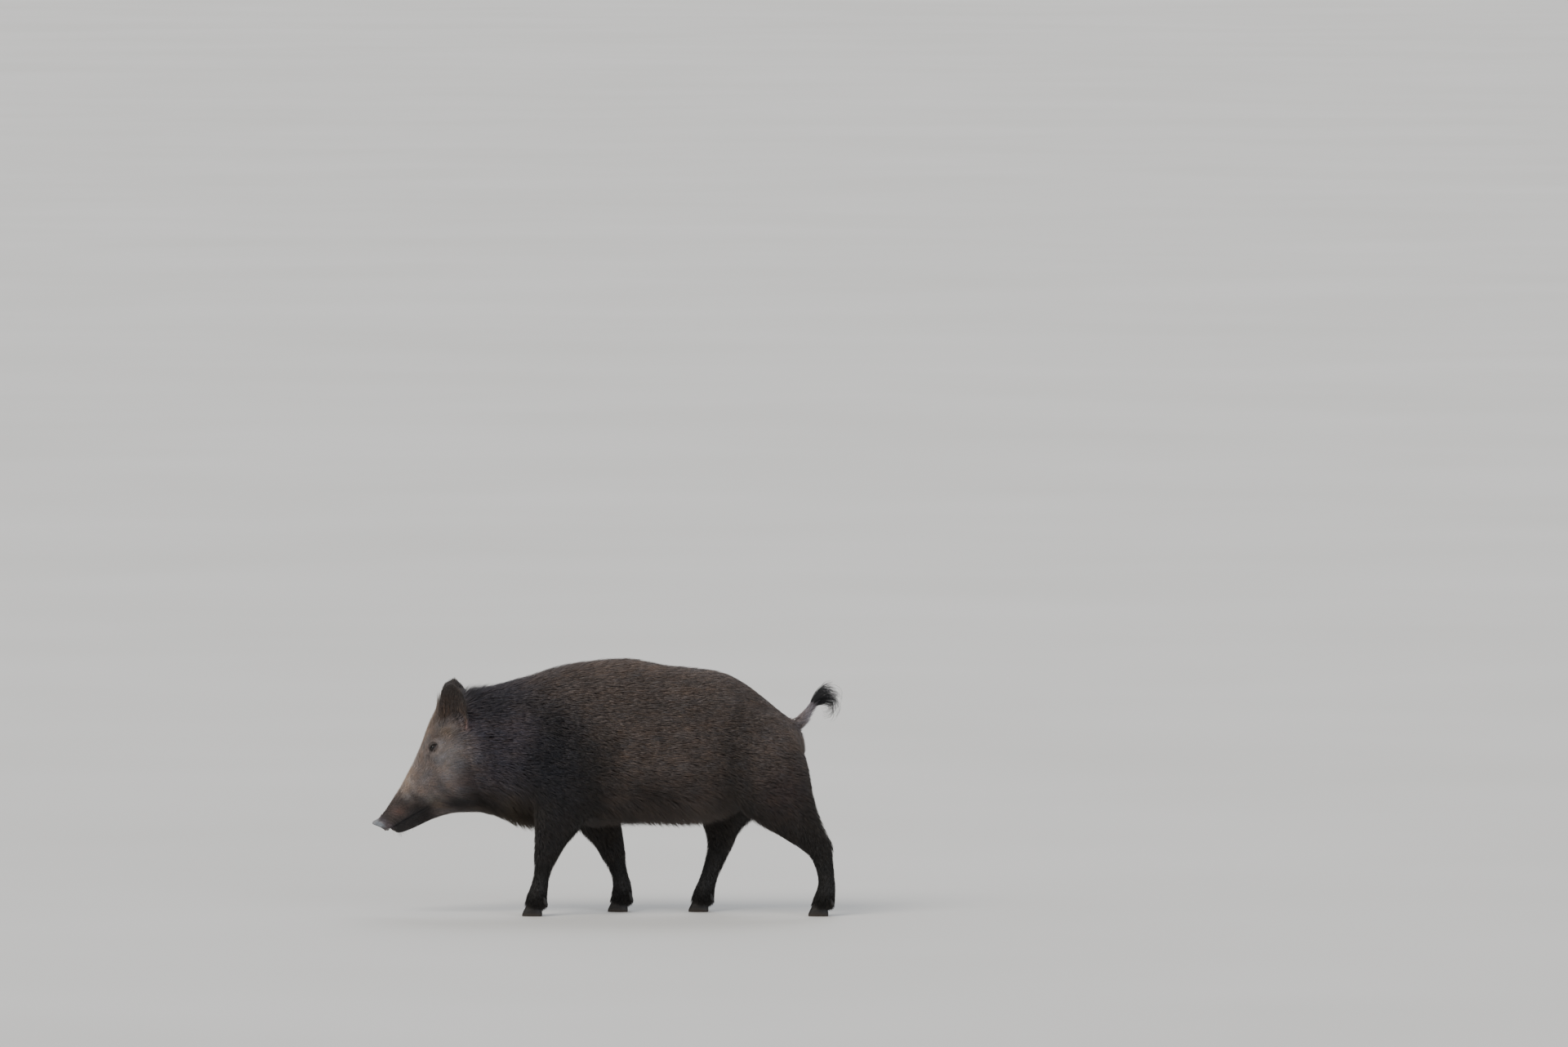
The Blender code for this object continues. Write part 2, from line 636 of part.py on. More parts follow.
def tail_pieces(skin_finish, hair_finish):
    """The tail, carried up and back, and the tuft of long hair that flares from its end."""
    line = ((0.556, 0.553), (0.574, 0.566), (0.593, 0.590), (0.612, 0.617), (0.626, 0.634))
    widths = (0.020, 0.0165, 0.0130, 0.0120, 0.0110)
    tuft_line = ((0.626, 0.634), (0.642, 0.642), (0.662, 0.640), (0.682, 0.632), (0.700, 0.622))
    tuft_widths = (0.0115, 0.0185, 0.0215, 0.0165, 0.0050)
    made = []
    for name, route, radii, finish in (
        ("tail", line, widths, skin_finish),
        ("tail_tuft", tuft_line, tuft_widths, hair_finish),
    ):
        rows = smooth_rows([(*place, radius) for place, radius in zip(route, radii, strict=True)], 2)
        directions = np.gradient(rows[:, :2], axis=0)
        rings = []
        for (y, z, radius), (dy, dz) in zip(rows, directions, strict=True):
            along = Vector((0, dy, dz)).normalized()
            upward = along.cross(Vector((1, 0, 0)))
            ring = []
            for i in range(10):
                angle = 2 * math.pi * i / 10
                ring.append(
                    Vector((radius * math.cos(angle), y, z)) + upward * radius * math.sin(angle)
                )
            rings.append(ring)
        made.append(add_object(name, loft(rings), finish))
    tail, tuft = made
    end, before = Vector((0, *line[-1])), Vector((0, *line[-2]))
    axis = (end - before).normalized()
    cut_by_plane(tail, end - axis * GAP, axis)
    cut_by_plane(tuft, end, -axis)
    return made


# ---------------------------------------------------------------- assembly
def part_limbs(flesh, finishes):
    """Takes the four limbs off the flesh and parts each at its knee or hock."""
    for side in ("left", "right"):
        for limb in ("foreleg", "hindleg"):
            upper = part_by_tool(flesh, f"{side}_{limb}_upper", tongue(side, limb))
            joint = JOINT_HEIGHTS[limb]
            rows = limb_rows(side, limb)
            middle = float(np.interp(-joint, -rows[:, 0], rows[:, 4]))
            lower = part_by_plane(upper, f"{side}_{limb}_lower", (0, middle, joint), (0, 0, -1))
            point, normal = coronet_plane(side, limb)
            cut_by_plane(lower, point + normal * GAP / 2, -normal)
            for piece in (upper, lower):
                piece.data.materials.clear()
                piece.data.materials.append(finishes["leg"])
            for which in ("outer", "inner"):
                hoof(side, limb, which, finishes["horn"])
                claw = dewclaw(side, limb, which, finishes["horn"])
                make_room(claw, lower)


def part_spine(flesh, finishes):
    """Parts what is left of the flesh into trunk, neck, head and lower jaw."""
    flesh.name = "trunk"
    neck = part_by_plane(flesh, "neck", (0, -0.232, 0.480), (0, -1, -0.18))
    head = part_by_plane(neck, "head", (0, -0.372, 0.480), (0, -1, -0.26))
    jaw = part_by_tool(head, "lower_jaw", jaw_tool())
    middle, forward, _ = nose_axes()
    cut_by_plane(head, middle, forward)
    cut_by_plane(jaw, middle, forward)
    for piece, finish in ((flesh, "coat"), (neck, "coat"), (head, "face"), (jaw, "face")):
        piece.data.materials.clear()
        piece.data.materials.append(finishes[finish])
    return flesh, neck, head, jaw


def centre_on_floor():
    """Moves every piece so that the origin is the middle of the whole box's underside."""
    objects = list(bpy.context.scene.collection.objects)
    corners = np.array([vertex.co for obj in objects for vertex in obj.data.vertices])
    low, high = corners.min(axis=0), corners.max(axis=0)
    shift = Matrix.Translation((-(low[0] + high[0]) / 2, -(low[1] + high[1]) / 2, -low[2]))
    for obj in objects:
        obj.data.transform(shift)


def main():
    """Builds the boar."""
    clear_scene()
    finishes = {
        "coat": material("bristle coat", (0.045, 0.036, 0.032), 0.75),
        "face": material("short grizzled hair", (0.110, 0.088, 0.078), 0.75),
        "leg": material("black leg hair", (0.018, 0.016, 0.016), 0.70),
        "nose": material("bare nose skin", (0.150, 0.140, 0.145), 0.45),
        "horn": material("dark hoof horn", (0.040, 0.036, 0.033), 0.40),
        "eye": material("dark eye", (0.010, 0.006, 0.004), 0.05),
        "tuft": material("black tail hair", (0.012, 0.012, 0.014), 0.60),
    }
    flesh = fused_flesh()
    part_limbs(flesh, finishes)
    trunk, neck, head, jaw = part_spine(flesh, finishes)
    nose_disc(finishes["nose"])
    for side in ("left", "right"):
        sign = side_sign(side)
        eye = ball(
            f"{side}_eye",
            (sign * EYE_PLACE.x, EYE_PLACE.y, EYE_PLACE.z),
            (EYE_RADIUS,) * 3,
            segments=14,
        )
        eye.data.materials.append(finishes["eye"])
        make_room(head, eye)
        outer_ear = ear(side, finishes["coat"])
        make_room(outer_ear, head, neck)
    tail, _ = tail_pieces(finishes["coat"], finishes["tuft"])
    make_room(tail, trunk)
    for obj in bpy.context.scene.collection.objects:
        shade(obj)
    centre_on_floor()


main()
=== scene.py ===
"""Life-size wild boar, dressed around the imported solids: one skin, a coat of bristles, eyes and hooves.

The animal stands on the floor with its nose towards -Y and its left side towards +X, in metres. The
solids are as large as the coat, so the skin is made from them, smoothed and drawn in by the coat's depth,
and the bristles then fill the space up to the solids' outside again.
"""
from __future__ import annotations

import logging
import math
from collections.abc import Iterable
from dataclasses import dataclass, field
from enum import Enum

import bpy
import numpy as np
from bpy.types import ID, Material, Mesh, Node, NodeSocket, NodeTree, Object, bpy_prop_collection
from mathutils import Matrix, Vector
from mathutils.bvhtree import BVHTree
from mathutils.kdtree import KDTree

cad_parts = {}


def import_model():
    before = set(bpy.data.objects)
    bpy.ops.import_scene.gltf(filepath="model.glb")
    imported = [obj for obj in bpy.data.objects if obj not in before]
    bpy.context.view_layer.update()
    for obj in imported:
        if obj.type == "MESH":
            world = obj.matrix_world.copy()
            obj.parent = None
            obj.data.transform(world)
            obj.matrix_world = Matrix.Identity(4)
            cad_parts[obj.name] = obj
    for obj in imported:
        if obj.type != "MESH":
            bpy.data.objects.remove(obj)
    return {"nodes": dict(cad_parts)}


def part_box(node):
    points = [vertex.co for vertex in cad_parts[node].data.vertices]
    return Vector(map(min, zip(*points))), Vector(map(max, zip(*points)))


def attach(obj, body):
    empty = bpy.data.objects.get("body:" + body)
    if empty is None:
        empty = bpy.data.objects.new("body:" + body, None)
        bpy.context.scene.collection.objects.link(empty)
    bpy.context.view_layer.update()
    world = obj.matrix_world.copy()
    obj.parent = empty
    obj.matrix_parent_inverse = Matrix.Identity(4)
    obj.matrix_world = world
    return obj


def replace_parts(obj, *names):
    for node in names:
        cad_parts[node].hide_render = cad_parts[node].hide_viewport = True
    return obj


LOG = logging.getLogger("wild_boar")
Array = np.ndarray

EYE_Y = -0.4960  # lengthwise place of the eyes in the body's measuring frame, which all tables below use
EYE_CENTRE = (0.0645, EYE_Y, 0.4900)
EYE_RADIUS = 0.0125
NOSE_TOP = (-0.6630, 0.2790)  # y and z of the nose disc's upper rim, where the line of the face starts
FACE_LINE = (0.51, 0.86)  # y and z of the direction from the nose disc up the bridge to the forehead
DISC_CENTRE = (0.0, -0.6443, 0.2655)
DISC_FACING = (0.0, -0.5846, -0.8113)
DISC_UP = (0.0, -0.8113, 0.5846)
DISC_HALF_WIDTH = 0.0425
DISC_HALF_HEIGHT = 0.0240
NOSTRIL_X = 0.0155
MOUTH_LINE = ((-0.634, 0.246), (-0.605, 0.262), (-0.575, 0.280), (-0.545, 0.298), (-0.520, 0.312))
EAR_ROOT = (0.078, -0.441, 0.548)
EAR_UP = (0.300, 0.040, 0.953)
EAR_OPENING = (0.86, -0.50, -0.12)
EAR_LENGTH = 0.140
EAR_BASE = (0.080, -0.441, 0.552)  # middle of the hollow where an ear joins the head
HEAD_LEVEL = 0.480  # height at which past_head gives a point's plain lengthwise place
HEAD_LEAN = 0.26  # how far the back of the head runs forward for each metre up
TEAR_GROOVE = ((0.0120, -0.001), (0.0200, -0.0055), (0.0320, -0.009))  # from the eye's inner corner
TEAR_STAIN = ((0.012, -0.001), (0.021, -0.006), (0.032, -0.009))
HIDE_SWELLING = 0.0005  # how far each solid is swollen to overlap its neighbours in the skin
MERGE_DISTANCE = 0.00001
MIRRORED = (-1, 1, 1)
HORN_ENDINGS = ("hoof", "dewclaw")  # how the names of the solids of horn end
TAIL_END = (0.0, 0.626, 0.634)
TAIL_HEADING = (0.0, 0.62, 0.785)


# ----------------------------------------
# Small numeric tools


def smoothstep(low: float, high: float, value: Array) -> Array:
    """Rises smoothly from 0 at low to 1 at high, or falls where low is the larger."""
    share = np.clip((value - low) / (high - low), 0.0, 1.0)
    return share * share * (3.0 - 2.0 * share)


def unit(vectors: Array | tuple) -> Array:
    """Vectors at length one along the last axis."""
    vectors = np.asarray(vectors, float)
    return vectors / np.maximum(np.linalg.norm(vectors, axis=-1, keepdims=True), 1e-12)


def mix(first: Array, second: Array, share: Array | float) -> Array:
    """Goes from first to second as share goes from 0 to 1."""
    return first + (second - first) * share


def fold(points: Array) -> Array:
    """The points with those of the right side laid over on the left."""
    return np.column_stack([np.abs(points[:, 0]), points[:, 1:]])


def bell(value: Array, centre: float, width: float) -> Array:
    """Weight that is 1 where the value is at the centre, and fades to both sides of it."""
    return np.exp(-(((value - centre) / width) ** 2))


def past_head(points: Array) -> Array:
    """Lengthwise place, measured along planes that lean as the back of the head does."""
    return points[:, 1] + HEAD_LEAN * (points[:, 2] - HEAD_LEVEL)


def falloff(points: Array, centre: tuple, radii: tuple) -> Array:
    """Bell-shaped weight around a centre that stands on both sides of the body.

    Args:
        points: Places in the body's measuring frame, one a row.
        centre: The bell's middle on the left side.
        radii: Its width along each axis.

    Returns:
        One weight a point, 1 at the centre.
    """
    return np.exp(-(((fold(points) - centre) / radii) ** 2).sum(1))


def ripple(points: Array, size: float, seed: int, waves: int = 7) -> Array:
    """Smooth seeded unevenness of about -1 to 1, made of a few crossing waves.

    Args:
        points: Places, one a row.
        size: Length of a wave in metres.
        seed: Number that picks the waves.
        waves: How many waves cross.

    Returns:
        One value a point.
    """
    rng = np.random.default_rng(seed)
    total = np.zeros(len(points))
    for _ in range(waves):
        heading = unit(rng.normal(size=3)) * rng.uniform(0.7, 1.5) * math.tau / size
        total += np.sin(points @ heading + rng.uniform(0, math.tau))
    return total / math.sqrt(waves / 2) / 1.6


def linear(colour: str) -> tuple[float, float, float, float]:
    """An sRGB hex colour as linear red, green, blue and alpha."""
    channels = [int(colour.lstrip("#")[i : i + 2], 16) / 255 for i in (0, 2, 4)]
    straight = [c / 12.92 if c <= 0.04045 else ((c + 0.055) / 1.055) ** 2.4 for c in channels]
    return (*straight, 1.0)


def distance_to_line(across: Array, up: Array, line: Iterable[tuple]) -> Array:
    """Distance of flat points from an open line of straight pieces.

    Args:
        across: First coordinate of each point.
        up: Second coordinate of each point.
        line: The line's points as pairs.

    Returns:
        One distance a point.
    """
    line = list(line)
    best = np.full(len(across), np.inf)
    for (a0, u0), (a1, u1) in zip(line, line[1:]):
        run, rise = a1 - a0, u1 - u0
        share = np.clip(((across - a0) * run + (up - u0) * rise) / (run * run + rise * rise), 0, 1)
        best = np.minimum(best, np.hypot(across - a0 - share * run, up - u0 - share * rise))
    return best


# ----------------------------------------
# Small Blender tools


def deselect_all() -> None:
    """Leaves nothing selected."""
    bpy.ops.object.select_all(action="DESELECT")


def make_active(obj: Object) -> None:
    """Selects one object alone and makes it the active one."""
    deselect_all()
    obj.select_set(True)
    bpy.context.view_layer.objects.active = obj


def add_object(name: str, data: ID) -> Object:
    """Puts a mesh, light or camera into the scene as a new object."""
    obj = bpy.data.objects.new(name, data)
    bpy.context.scene.collection.objects.link(obj)
    return obj


def copy_solid(node: Object, name: str, quads: bool = False) -> Object:
    """Copies a solid and merges its loose triangles.

    Args:
        node: The solid's object.
        name: The copy's name.
        quads: Whether pairs of triangles are joined into quads.

    Returns:
        The copy, active, with no material.
    """
    mesh = node.data.copy()
    mesh.materials.clear()
    obj = add_object(name, mesh)
    make_active(obj)
    bpy.ops.object.mode_set(mode="EDIT")
    bpy.ops.mesh.select_all(action="SELECT")
    bpy.ops.mesh.remove_doubles(threshold=MERGE_DISTANCE)
    if quads:
        bpy.ops.mesh.tris_convert_to_quads()
    bpy.ops.object.mode_set(mode="OBJECT")
    return obj


def dress_smooth(obj: Object, material: Material) -> None:
    """Gives an object its one material and smooth shading."""
    obj.data.materials.clear()
    obj.data.materials.append(material)
    make_active(obj)
    bpy.ops.object.shade_smooth()


def apply_modifier(obj: Object, kind: str, **settings: object) -> None:
    """Adds a modifier with its settings and applies it.

    Args:
        obj: The object to change.
        kind: The modifier's type.
        settings: Its properties by name.
    """
    make_active(obj)
    modifier = obj.modifiers.new(kind.title(), kind)
    for name, value in settings.items():
        setattr(modifier, name, value)
    bpy.ops.object.modifier_apply(modifier=modifier.name)


def set_group(obj: Object, name: str, weights: Array) -> str:
    """Gives an object a vertex group with one weight a vertex, to 1 %, and returns its name."""
    group = obj.vertex_groups.get(name) or obj.vertex_groups.new(name=name)
    steps = np.round(np.clip(weights, 0, 1) * 100).astype(int)
    for step in np.unique(steps):
        group.add(np.flatnonzero(steps == step).tolist(), step / 100, "REPLACE")
    return group.name


def read_rows(items: bpy_prop_collection, key: str, width: int, kind: type = float) -> Array:
    """One property of all the items of a mesh, one item a row."""
    flat = np.empty(len(items) * width, kind)
    items.foreach_get(key, flat)
    return flat.reshape(-1, width)


def read_points(mesh: Mesh) -> Array:
    """A mesh's vertices, one a row."""
    return read_rows(mesh.vertices, "co", 3)


def read_normals(mesh: Mesh) -> Array:
    """A mesh's vertex normals, one a row."""
    return read_rows(mesh.vertex_normals, "vector", 3, np.float32).astype(float)


def read_edges(mesh: Mesh) -> Array:
    """The two vertices of each edge, one edge a row."""
    return read_rows(mesh.edges, "vertices", 2, np.int32)


def read_triangles(mesh: Mesh) -> Array:
    """The three vertices of each triangle, one a row."""
    mesh.calc_loop_triangles()
    return read_rows(mesh.loop_triangles, "vertices", 3, np.int32)


def write_points(mesh: Mesh, points: Array) -> None:
    """Moves a mesh's vertices to the places given."""
    mesh.vertices.foreach_set("co", points.astype(np.float32).ravel())
    mesh.update()


def set_attribute(mesh: Mesh, name: str, values: Array) -> None:
    """Stores one number, vector or colour a vertex under a name that materials read."""
    width = 1 if values.ndim == 1 else values.shape[1]
    kind, key = {1: ("FLOAT", "value"), 3: ("FLOAT_VECTOR", "vector"), 4: ("FLOAT_COLOR", "color")}[width]
    layer = mesh.attributes.get(name) or mesh.attributes.new(name, kind, "POINT")
    layer.data.foreach_set(key, values.astype(np.float32).ravel())


def spread(values: Array, edges: Array, rounds: int) -> Array:
    """Smooths values over a mesh by averaging each vertex with its neighbours.

    Args:
        values: One value or row a vertex.
        edges: The mesh's edges.
        rounds: How many times to average.

    Returns:
        The smoothed values.
    """
    flat = values.reshape(len(values), -1).copy()
    ends = np.concatenate([edges[:, 0], edges[:, 1]])
    others = np.concatenate([edges[:, 1], edges[:, 0]])
    count = np.maximum(np.bincount(ends, minlength=len(flat)), 1)
    for _ in range(rounds):
        for column in range(flat.shape[1]):
            around = np.bincount(ends, flat[others, column], minlength=len(flat)) / count
            flat[:, column] = 0.5 * flat[:, column] + 0.5 * around
    return flat.reshape(values.shape)


def feed(tree: NodeTree, node: Node, inputs: dict) -> None:
    """Sets a node's inputs, by name or number, to plain values or to the outputs that feed them."""
    for key, value in inputs.items():
        if isinstance(value, NodeSocket):
            tree.links.new(value, node.inputs[key])
        else:
            node.inputs[key].default_value = value


def add_node(tree: NodeTree, kind: str, inputs: dict | None = None, **settings: object) -> Node:
    """Adds a shader node with its settings and links.

    Args:
        tree: The material's node tree.
        kind: The node's type, without the ShaderNode at its start.
        inputs: For each input, by name or number, a plain value or the output socket that feeds it.
        settings: The node's own properties by name.

    Returns:
        The new node.
    """
    node = tree.nodes.new(f"ShaderNode{kind}")
    for name, value in settings.items():
        setattr(node, name, value)
    feed(tree, node, inputs or {})
    return node


def new_material(name: str) -> tuple[Material, NodeTree, Node]:
    """A material with its node tree and its Principled shader, all at their defaults."""
    material = bpy.data.materials.new(name)
    material.use_nodes = True
    return material, material.node_tree, material.node_tree.nodes["Principled BSDF"]


def ramp(tree: NodeTree, fac: NodeSocket, stops: list[tuple[float, str]]) -> Node:
    """A colour ramp with its stops given as place and hex colour.

    Args:
        tree: The material's node tree.
        fac: The output that drives the ramp.
        stops: Place from 0 to 1 and colour of each stop, in order.

    Returns:
        The ramp node.
    """
    node = add_node(tree, "ValToRGB", {"Fac": fac})
    elements = node.color_ramp.elements
    while len(elements) < len(stops):
        elements.new(0.5)
    for element, (place, colour) in zip(elements, stops):
        element.position = place
        element.color = linear(colour)
    return node


# ----------------------------------------
# The body's regions, and what grows on each


@dataclass(frozen=True)
class EyeShape:
    """How an eye looks out of the head, and the narrow slanting opening between its lids."""

    gaze: tuple[float, float, float] = (0.93, -0.34, 0.10)
    corner: tuple[float, float, float] = (0.0, -0.70, -0.72)
    half_length: float = 0.0124
    upper_arch: float = 0.0052
    lower_arch: float = 0.0034

    def axes(self) -> tuple[Array, Array, Array]:
        """The left eye's directions to its inner corner, to its upper lid and out of the head."""
        gaze = unit(self.gaze)
        inner = np.array(self.corner)
        inner = unit(inner - inner @ gaze * gaze)
        upper = np.cross(gaze, inner)
        return inner, upper if upper[2] > 0 else -upper, gaze

    def local(self, points: Array) -> tuple[Array, Array, Array]:
        """Places from the nearer eye's centre: to its inner corner, to its upper lid and outwards."""
        away = fold(points) - EYE_CENTRE
        inner, upper, gaze = self.axes()
        return away @ inner, away @ upper, away @ gaze

    def edge(self, along: Array, up: Array) -> Array:
        """Distance outside the opening between the lids, less than 0 within it."""
        share = np.clip(np.abs(along) / self.half_length, 0, 1)
        round_end = (1 - share**2) ** 0.8
        beyond = np.maximum(np.abs(along) - self.half_length, 0)
        edge = np.maximum(up - self.upper_arch * round_end, -self.lower_arch * round_end - up)
        return np.where(beyond > 0, np.hypot(np.maximum(edge, 0), beyond), edge)


EYE = EyeShape()


class Region(Enum):
    """The parts of the body that carry different coats."""

    TRUNK = 0
    NECK = 1
    HEAD = 2
    EAR = 3
    UPPER_LEG = 4
    LOWER_LEG = 5
    TAIL = 6
    NOSE = 7

    @classmethod
    def of_node(cls, name: str) -> Region:
        """The region that a solid's name belongs to."""
        for ending, region in REGION_ENDINGS.items():
            if name.endswith(ending):
                return region
        return cls.TRUNK


REGION_ENDINGS = {
    "neck": Region.NECK,
    "head": Region.HEAD,
    "jaw": Region.HEAD,
    "eye": Region.HEAD,
    "_ear": Region.EAR,
    "upper": Region.UPPER_LEG,
    "lower": Region.LOWER_LEG,
    "tail": Region.TAIL,
    "nose_disc": Region.NOSE,
}


@dataclass(frozen=True)
class Growth:
    """What grows on a region: tuft length, half width and number to the square metre, and coat depth."""

    length: float
    half_width: float
    per_m2: float
    depth: float


GROWTHS = {
    Region.TRUNK: Growth(0.046, 0.00108, 88_000, 0.0165),
    Region.NECK: Growth(0.048, 0.00108, 94_000, 0.0175),
    Region.HEAD: Growth(0.017, 0.00062, 200_000, 0.0042),
    Region.EAR: Growth(0.015, 0.00055, 130_000, 0.0020),
    Region.UPPER_LEG: Growth(0.034, 0.00100, 100_000, 0.0115),
    Region.LOWER_LEG: Growth(0.015, 0.00075, 130_000, 0.0030),
    Region.TAIL: Growth(0.022, 0.00060, 160_000, 0.0040),
    Region.NOSE: Growth(0.001, 0.0005, 0, 0.0),
}


EAR_DEPTH = 0.0014  # depth of the coat on the thin free part of the ears
FACE_LIFT = 0.0016  # how far the hair of head and ears stands past the solids
FLOOR_GAP = 0.006
FOREHEAD_RISE = 0.008  # how far forehead skin and hair stand out past the solids


@dataclass(frozen=True)
class Extra:
    """What a special place adds to the coat: depth, stand past the solids, tuft length and looseness."""

    depth: float
    lift: float
    length: float
    loose: float


EXTRAS = {  # by the BodyMap method that says where each place is
    "mane": Extra(0.004, 0.002, 0.024, 0.14),
    "crest": Extra(0.010, 0.009, 0.014, 0.50),
    "forelock": Extra(-0.006, 0.018, 0.034, 0.60),
    "forehead": Extra(-FOREHEAD_RISE, FOREHEAD_RISE, 0.0, 0.0),
    "cheek": Extra(0.0, 0.0, 0.014, 0.14),
    "ear_fringe": Extra(0.0, 0.0, 0.010, 0.25),
    "ear_rim": Extra(0.0, 0.0, 0.004, 0.40),
    "throat": Extra(0.004, 0.003, 0.040, 0.80),
    "belly": Extra(0.0, 0.003, 0.022, 0.65),
    "rump": Extra(0.0, 0.007, 0.006, 0.25),
    "coronet": Extra(0.0, 0.0035, 0.018, 0.30),
    "tail_fringe": Extra(0.0, 0.0, 0.008, 0.40),
}


@dataclass
class BodyMap:
    """Everything that depends on the place on the body, worked out at a set of skin points.

    Attributes:
        points: The places, in the body's measuring frame.
        normals: The skin's outward directions there.
        shares: How much each point belongs to each Region, one column a region.
    """

    points: Array
    normals: Array
    shares: Array

    def share(self, region: Region) -> Array:
        """How much each point belongs to a region, 0 to 1."""
        return self.shares[:, region.value]

    def from_growths(self, name: str) -> Array:
        """One of the growth table's values at each point, blended between regions."""
        table = np.array([getattr(GROWTHS[region], name) for region in Region], float)
        return self.shares @ table

    def along_face(self) -> Array:
        """Distance up the bridge of the nose from the disc's upper rim."""
        y, z = self.points[:, 1] - NOSE_TOP[0], self.points[:, 2] - NOSE_TOP[1]
        return y * FACE_LINE[0] + z * FACE_LINE[1]

    def behind_face(self) -> Array:
        """Distance behind and below the line of the face."""
        y, z = self.points[:, 1] - NOSE_TOP[0], self.points[:, 2] - NOSE_TOP[1]
        return y * FACE_LINE[1] - z * FACE_LINE[0]

    def from_eye(self) -> Array:
        """Distance from the middle of the nearer eye."""
        return np.linalg.norm(fold(self.points) - EYE_CENTRE, axis=1)

    def from_slit(self) -> Array:
        """Distance from the opening between the nearer eye's lids, 3 cm at most."""
        along, up, out = EYE.local(self.points)
        near = (np.hypot(along, up) < 0.045) & (out > -0.020)
        return np.where(near, np.minimum(EYE.edge(along, up), 0.03), 0.03)

    def mane(self) -> Array:
        """The crest of long bristles from between the ears to the middle of the back."""
        x, y, _ = self.points.T
        top = smoothstep(0.35, 0.85, self.normals[:, 2])
        return top * bell(x, 0.0, 0.050) * smoothstep(-0.50, -0.43, y) * smoothstep(0.42, 0.02, y)

    def crest(self) -> Array:
        """The tuft of bristles that stands up between the ears."""
        top = smoothstep(-0.2, 0.4, self.normals[:, 2])
        return top * falloff(self.points, (0.0, -0.448, 0.608), (0.050, 0.045, 0.050))

    def forelock(self) -> Array:
        """The long hair on the forehead that stands up in front of the ears."""
        front = smoothstep(0.1, -0.5, self.normals[:, 1])
        return front * falloff(self.points, (0.0, -0.482, 0.592), (0.075, 0.030, 0.036))

    def forehead(self) -> Array:
        """The swell of the forehead below the forelock."""
        return falloff(self.points, (0.0, -0.505, 0.555), (0.075, 0.035, 0.042)) * self.share(Region.HEAD)

    def throat(self) -> Array:
        """The long fringe under the throat, from the jaw to the forelegs."""
        _, y, z = self.points.T
        under = smoothstep(0.1, 0.8, -self.normals[:, 2])
        return under * bell(y, -0.285, 0.13) * smoothstep(0.46, 0.36, z)

    def belly(self) -> Array:
        """The fringe along the belly, behind the elbow and before the stifle."""
        _, y, z = self.points.T
        under = smoothstep(0.1, 0.8, -self.normals[:, 2])
        return under * smoothstep(-0.16, -0.06, y) * smoothstep(0.50, 0.38, y) * smoothstep(0.40, 0.33, z)

    def rump(self) -> Array:
        """The hind edge of the hams, under the tail."""
        _, y, z = self.points.T
        behind = smoothstep(0.2, 0.8, self.normals[:, 1])
        return behind * smoothstep(0.50, 0.56, y) * smoothstep(0.20, 0.32, z) * smoothstep(0.60, 0.52, z)

    def cheek(self) -> Array:
        """The hind part of the head, where the face's short hair grows into the neck's."""
        return self.share(Region.HEAD) * smoothstep(0.09, 0.20, self.behind_face())

    def muzzle(self) -> Array:
        """The front of the head, 1 at the nose disc and 0 from the eyes on."""
        return self.share(Region.HEAD) * smoothstep(0.24, 0.03, self.along_face())

    def to_opening(self) -> Array:
        """How far the skin faces the way that the nearer ear opens, -1 to 1."""
        facing = self.normals * np.where(self.points[:, :1] < 0, MIRRORED, 1)
        return facing @ unit(EAR_OPENING)

    def ear_inside(self) -> Array:
        """The hollow side of the ears."""
        return self.share(Region.EAR) * smoothstep(0.05, 0.45, self.to_opening())

    def ear_rim(self) -> Array:
        """The edge of the ears, where the hair stands out in a soft fringe."""
        return self.share(Region.EAR) * smoothstep(0.75, 0.25, np.abs(self.to_opening()))

    def ear_height(self) -> Array:
        """Share of the way from an ear's root to its tip."""
        return (fold(self.points) - EAR_ROOT) @ unit(EAR_UP) / EAR_LENGTH

    def ear_fringe(self) -> Array:
        """The longer hair that comes out of the lower half of the ears' hollow."""
        return self.ear_inside() * smoothstep(0.62, 0.25, self.ear_height())

    def coronet(self) -> Array:
        """The last few centimetres of the legs above the hooves, 1 at the edge of the horn."""
        return self.share(Region.LOWER_LEG) * smoothstep(0.085, 0.055, self.points[:, 2])

    def tail_fringe(self) -> Array:
        """The thin hair that hangs from the hind side of the tail."""
        return self.share(Region.TAIL) * smoothstep(-0.2, 0.5, self.normals @ unit((0, 0.78, -0.62)))

    def added(self, name: str) -> Array:
        """What the coat's special places add to one of its measures, at each point."""
        total = np.zeros(len(self.points))
        for place, extra in EXTRAS.items():
            amount = getattr(extra, name)
            if amount:
                total += amount * getattr(self, place)()
        return total

    def depth(self) -> Array:
        """Depth of the coat, which is how far the skin lies inside the solids."""
        head, ear = self.share(Region.HEAD), self.share(Region.EAR)
        depth = self.from_growths("depth")
        depth *= mix(1.0, 0.35, head * smoothstep(0.16, 0.02, self.along_face()))
        depth *= mix(1.0, 0.20, smoothstep(0.036, 0.020, self.from_eye()))
        depth = mix(depth, EAR_DEPTH, smoothstep(0.02, 0.25, ear))
        depth *= 1.0 - 0.8 * falloff(self.points, EAR_BASE, (0.030, 0.055, 0.022))
        depth *= 1.0 - smoothstep(0.075, 0.050, self.points[:, 2]) * self.share(Region.LOWER_LEG)
        return depth + self.added("depth")

    def lift(self) -> Array:
        """How far the coat's outermost hair stands beyond the solids."""
        return self.added("lift") + FACE_LIFT * (self.share(Region.HEAD) + self.share(Region.EAR))

    def length(self) -> Array:
        """Length of the tufts, which stay clear of the floor."""
        length = self.from_growths("length")
        length *= mix(1.0, 0.42, self.muzzle())
        length *= mix(1.0, 0.26, smoothstep(0.014, 0.001, self.from_slit()))
        room = np.maximum(self.points[:, 2] - FLOOR_GAP, 0.001)
        return np.minimum(length + self.added("length"), 0.80 * room)

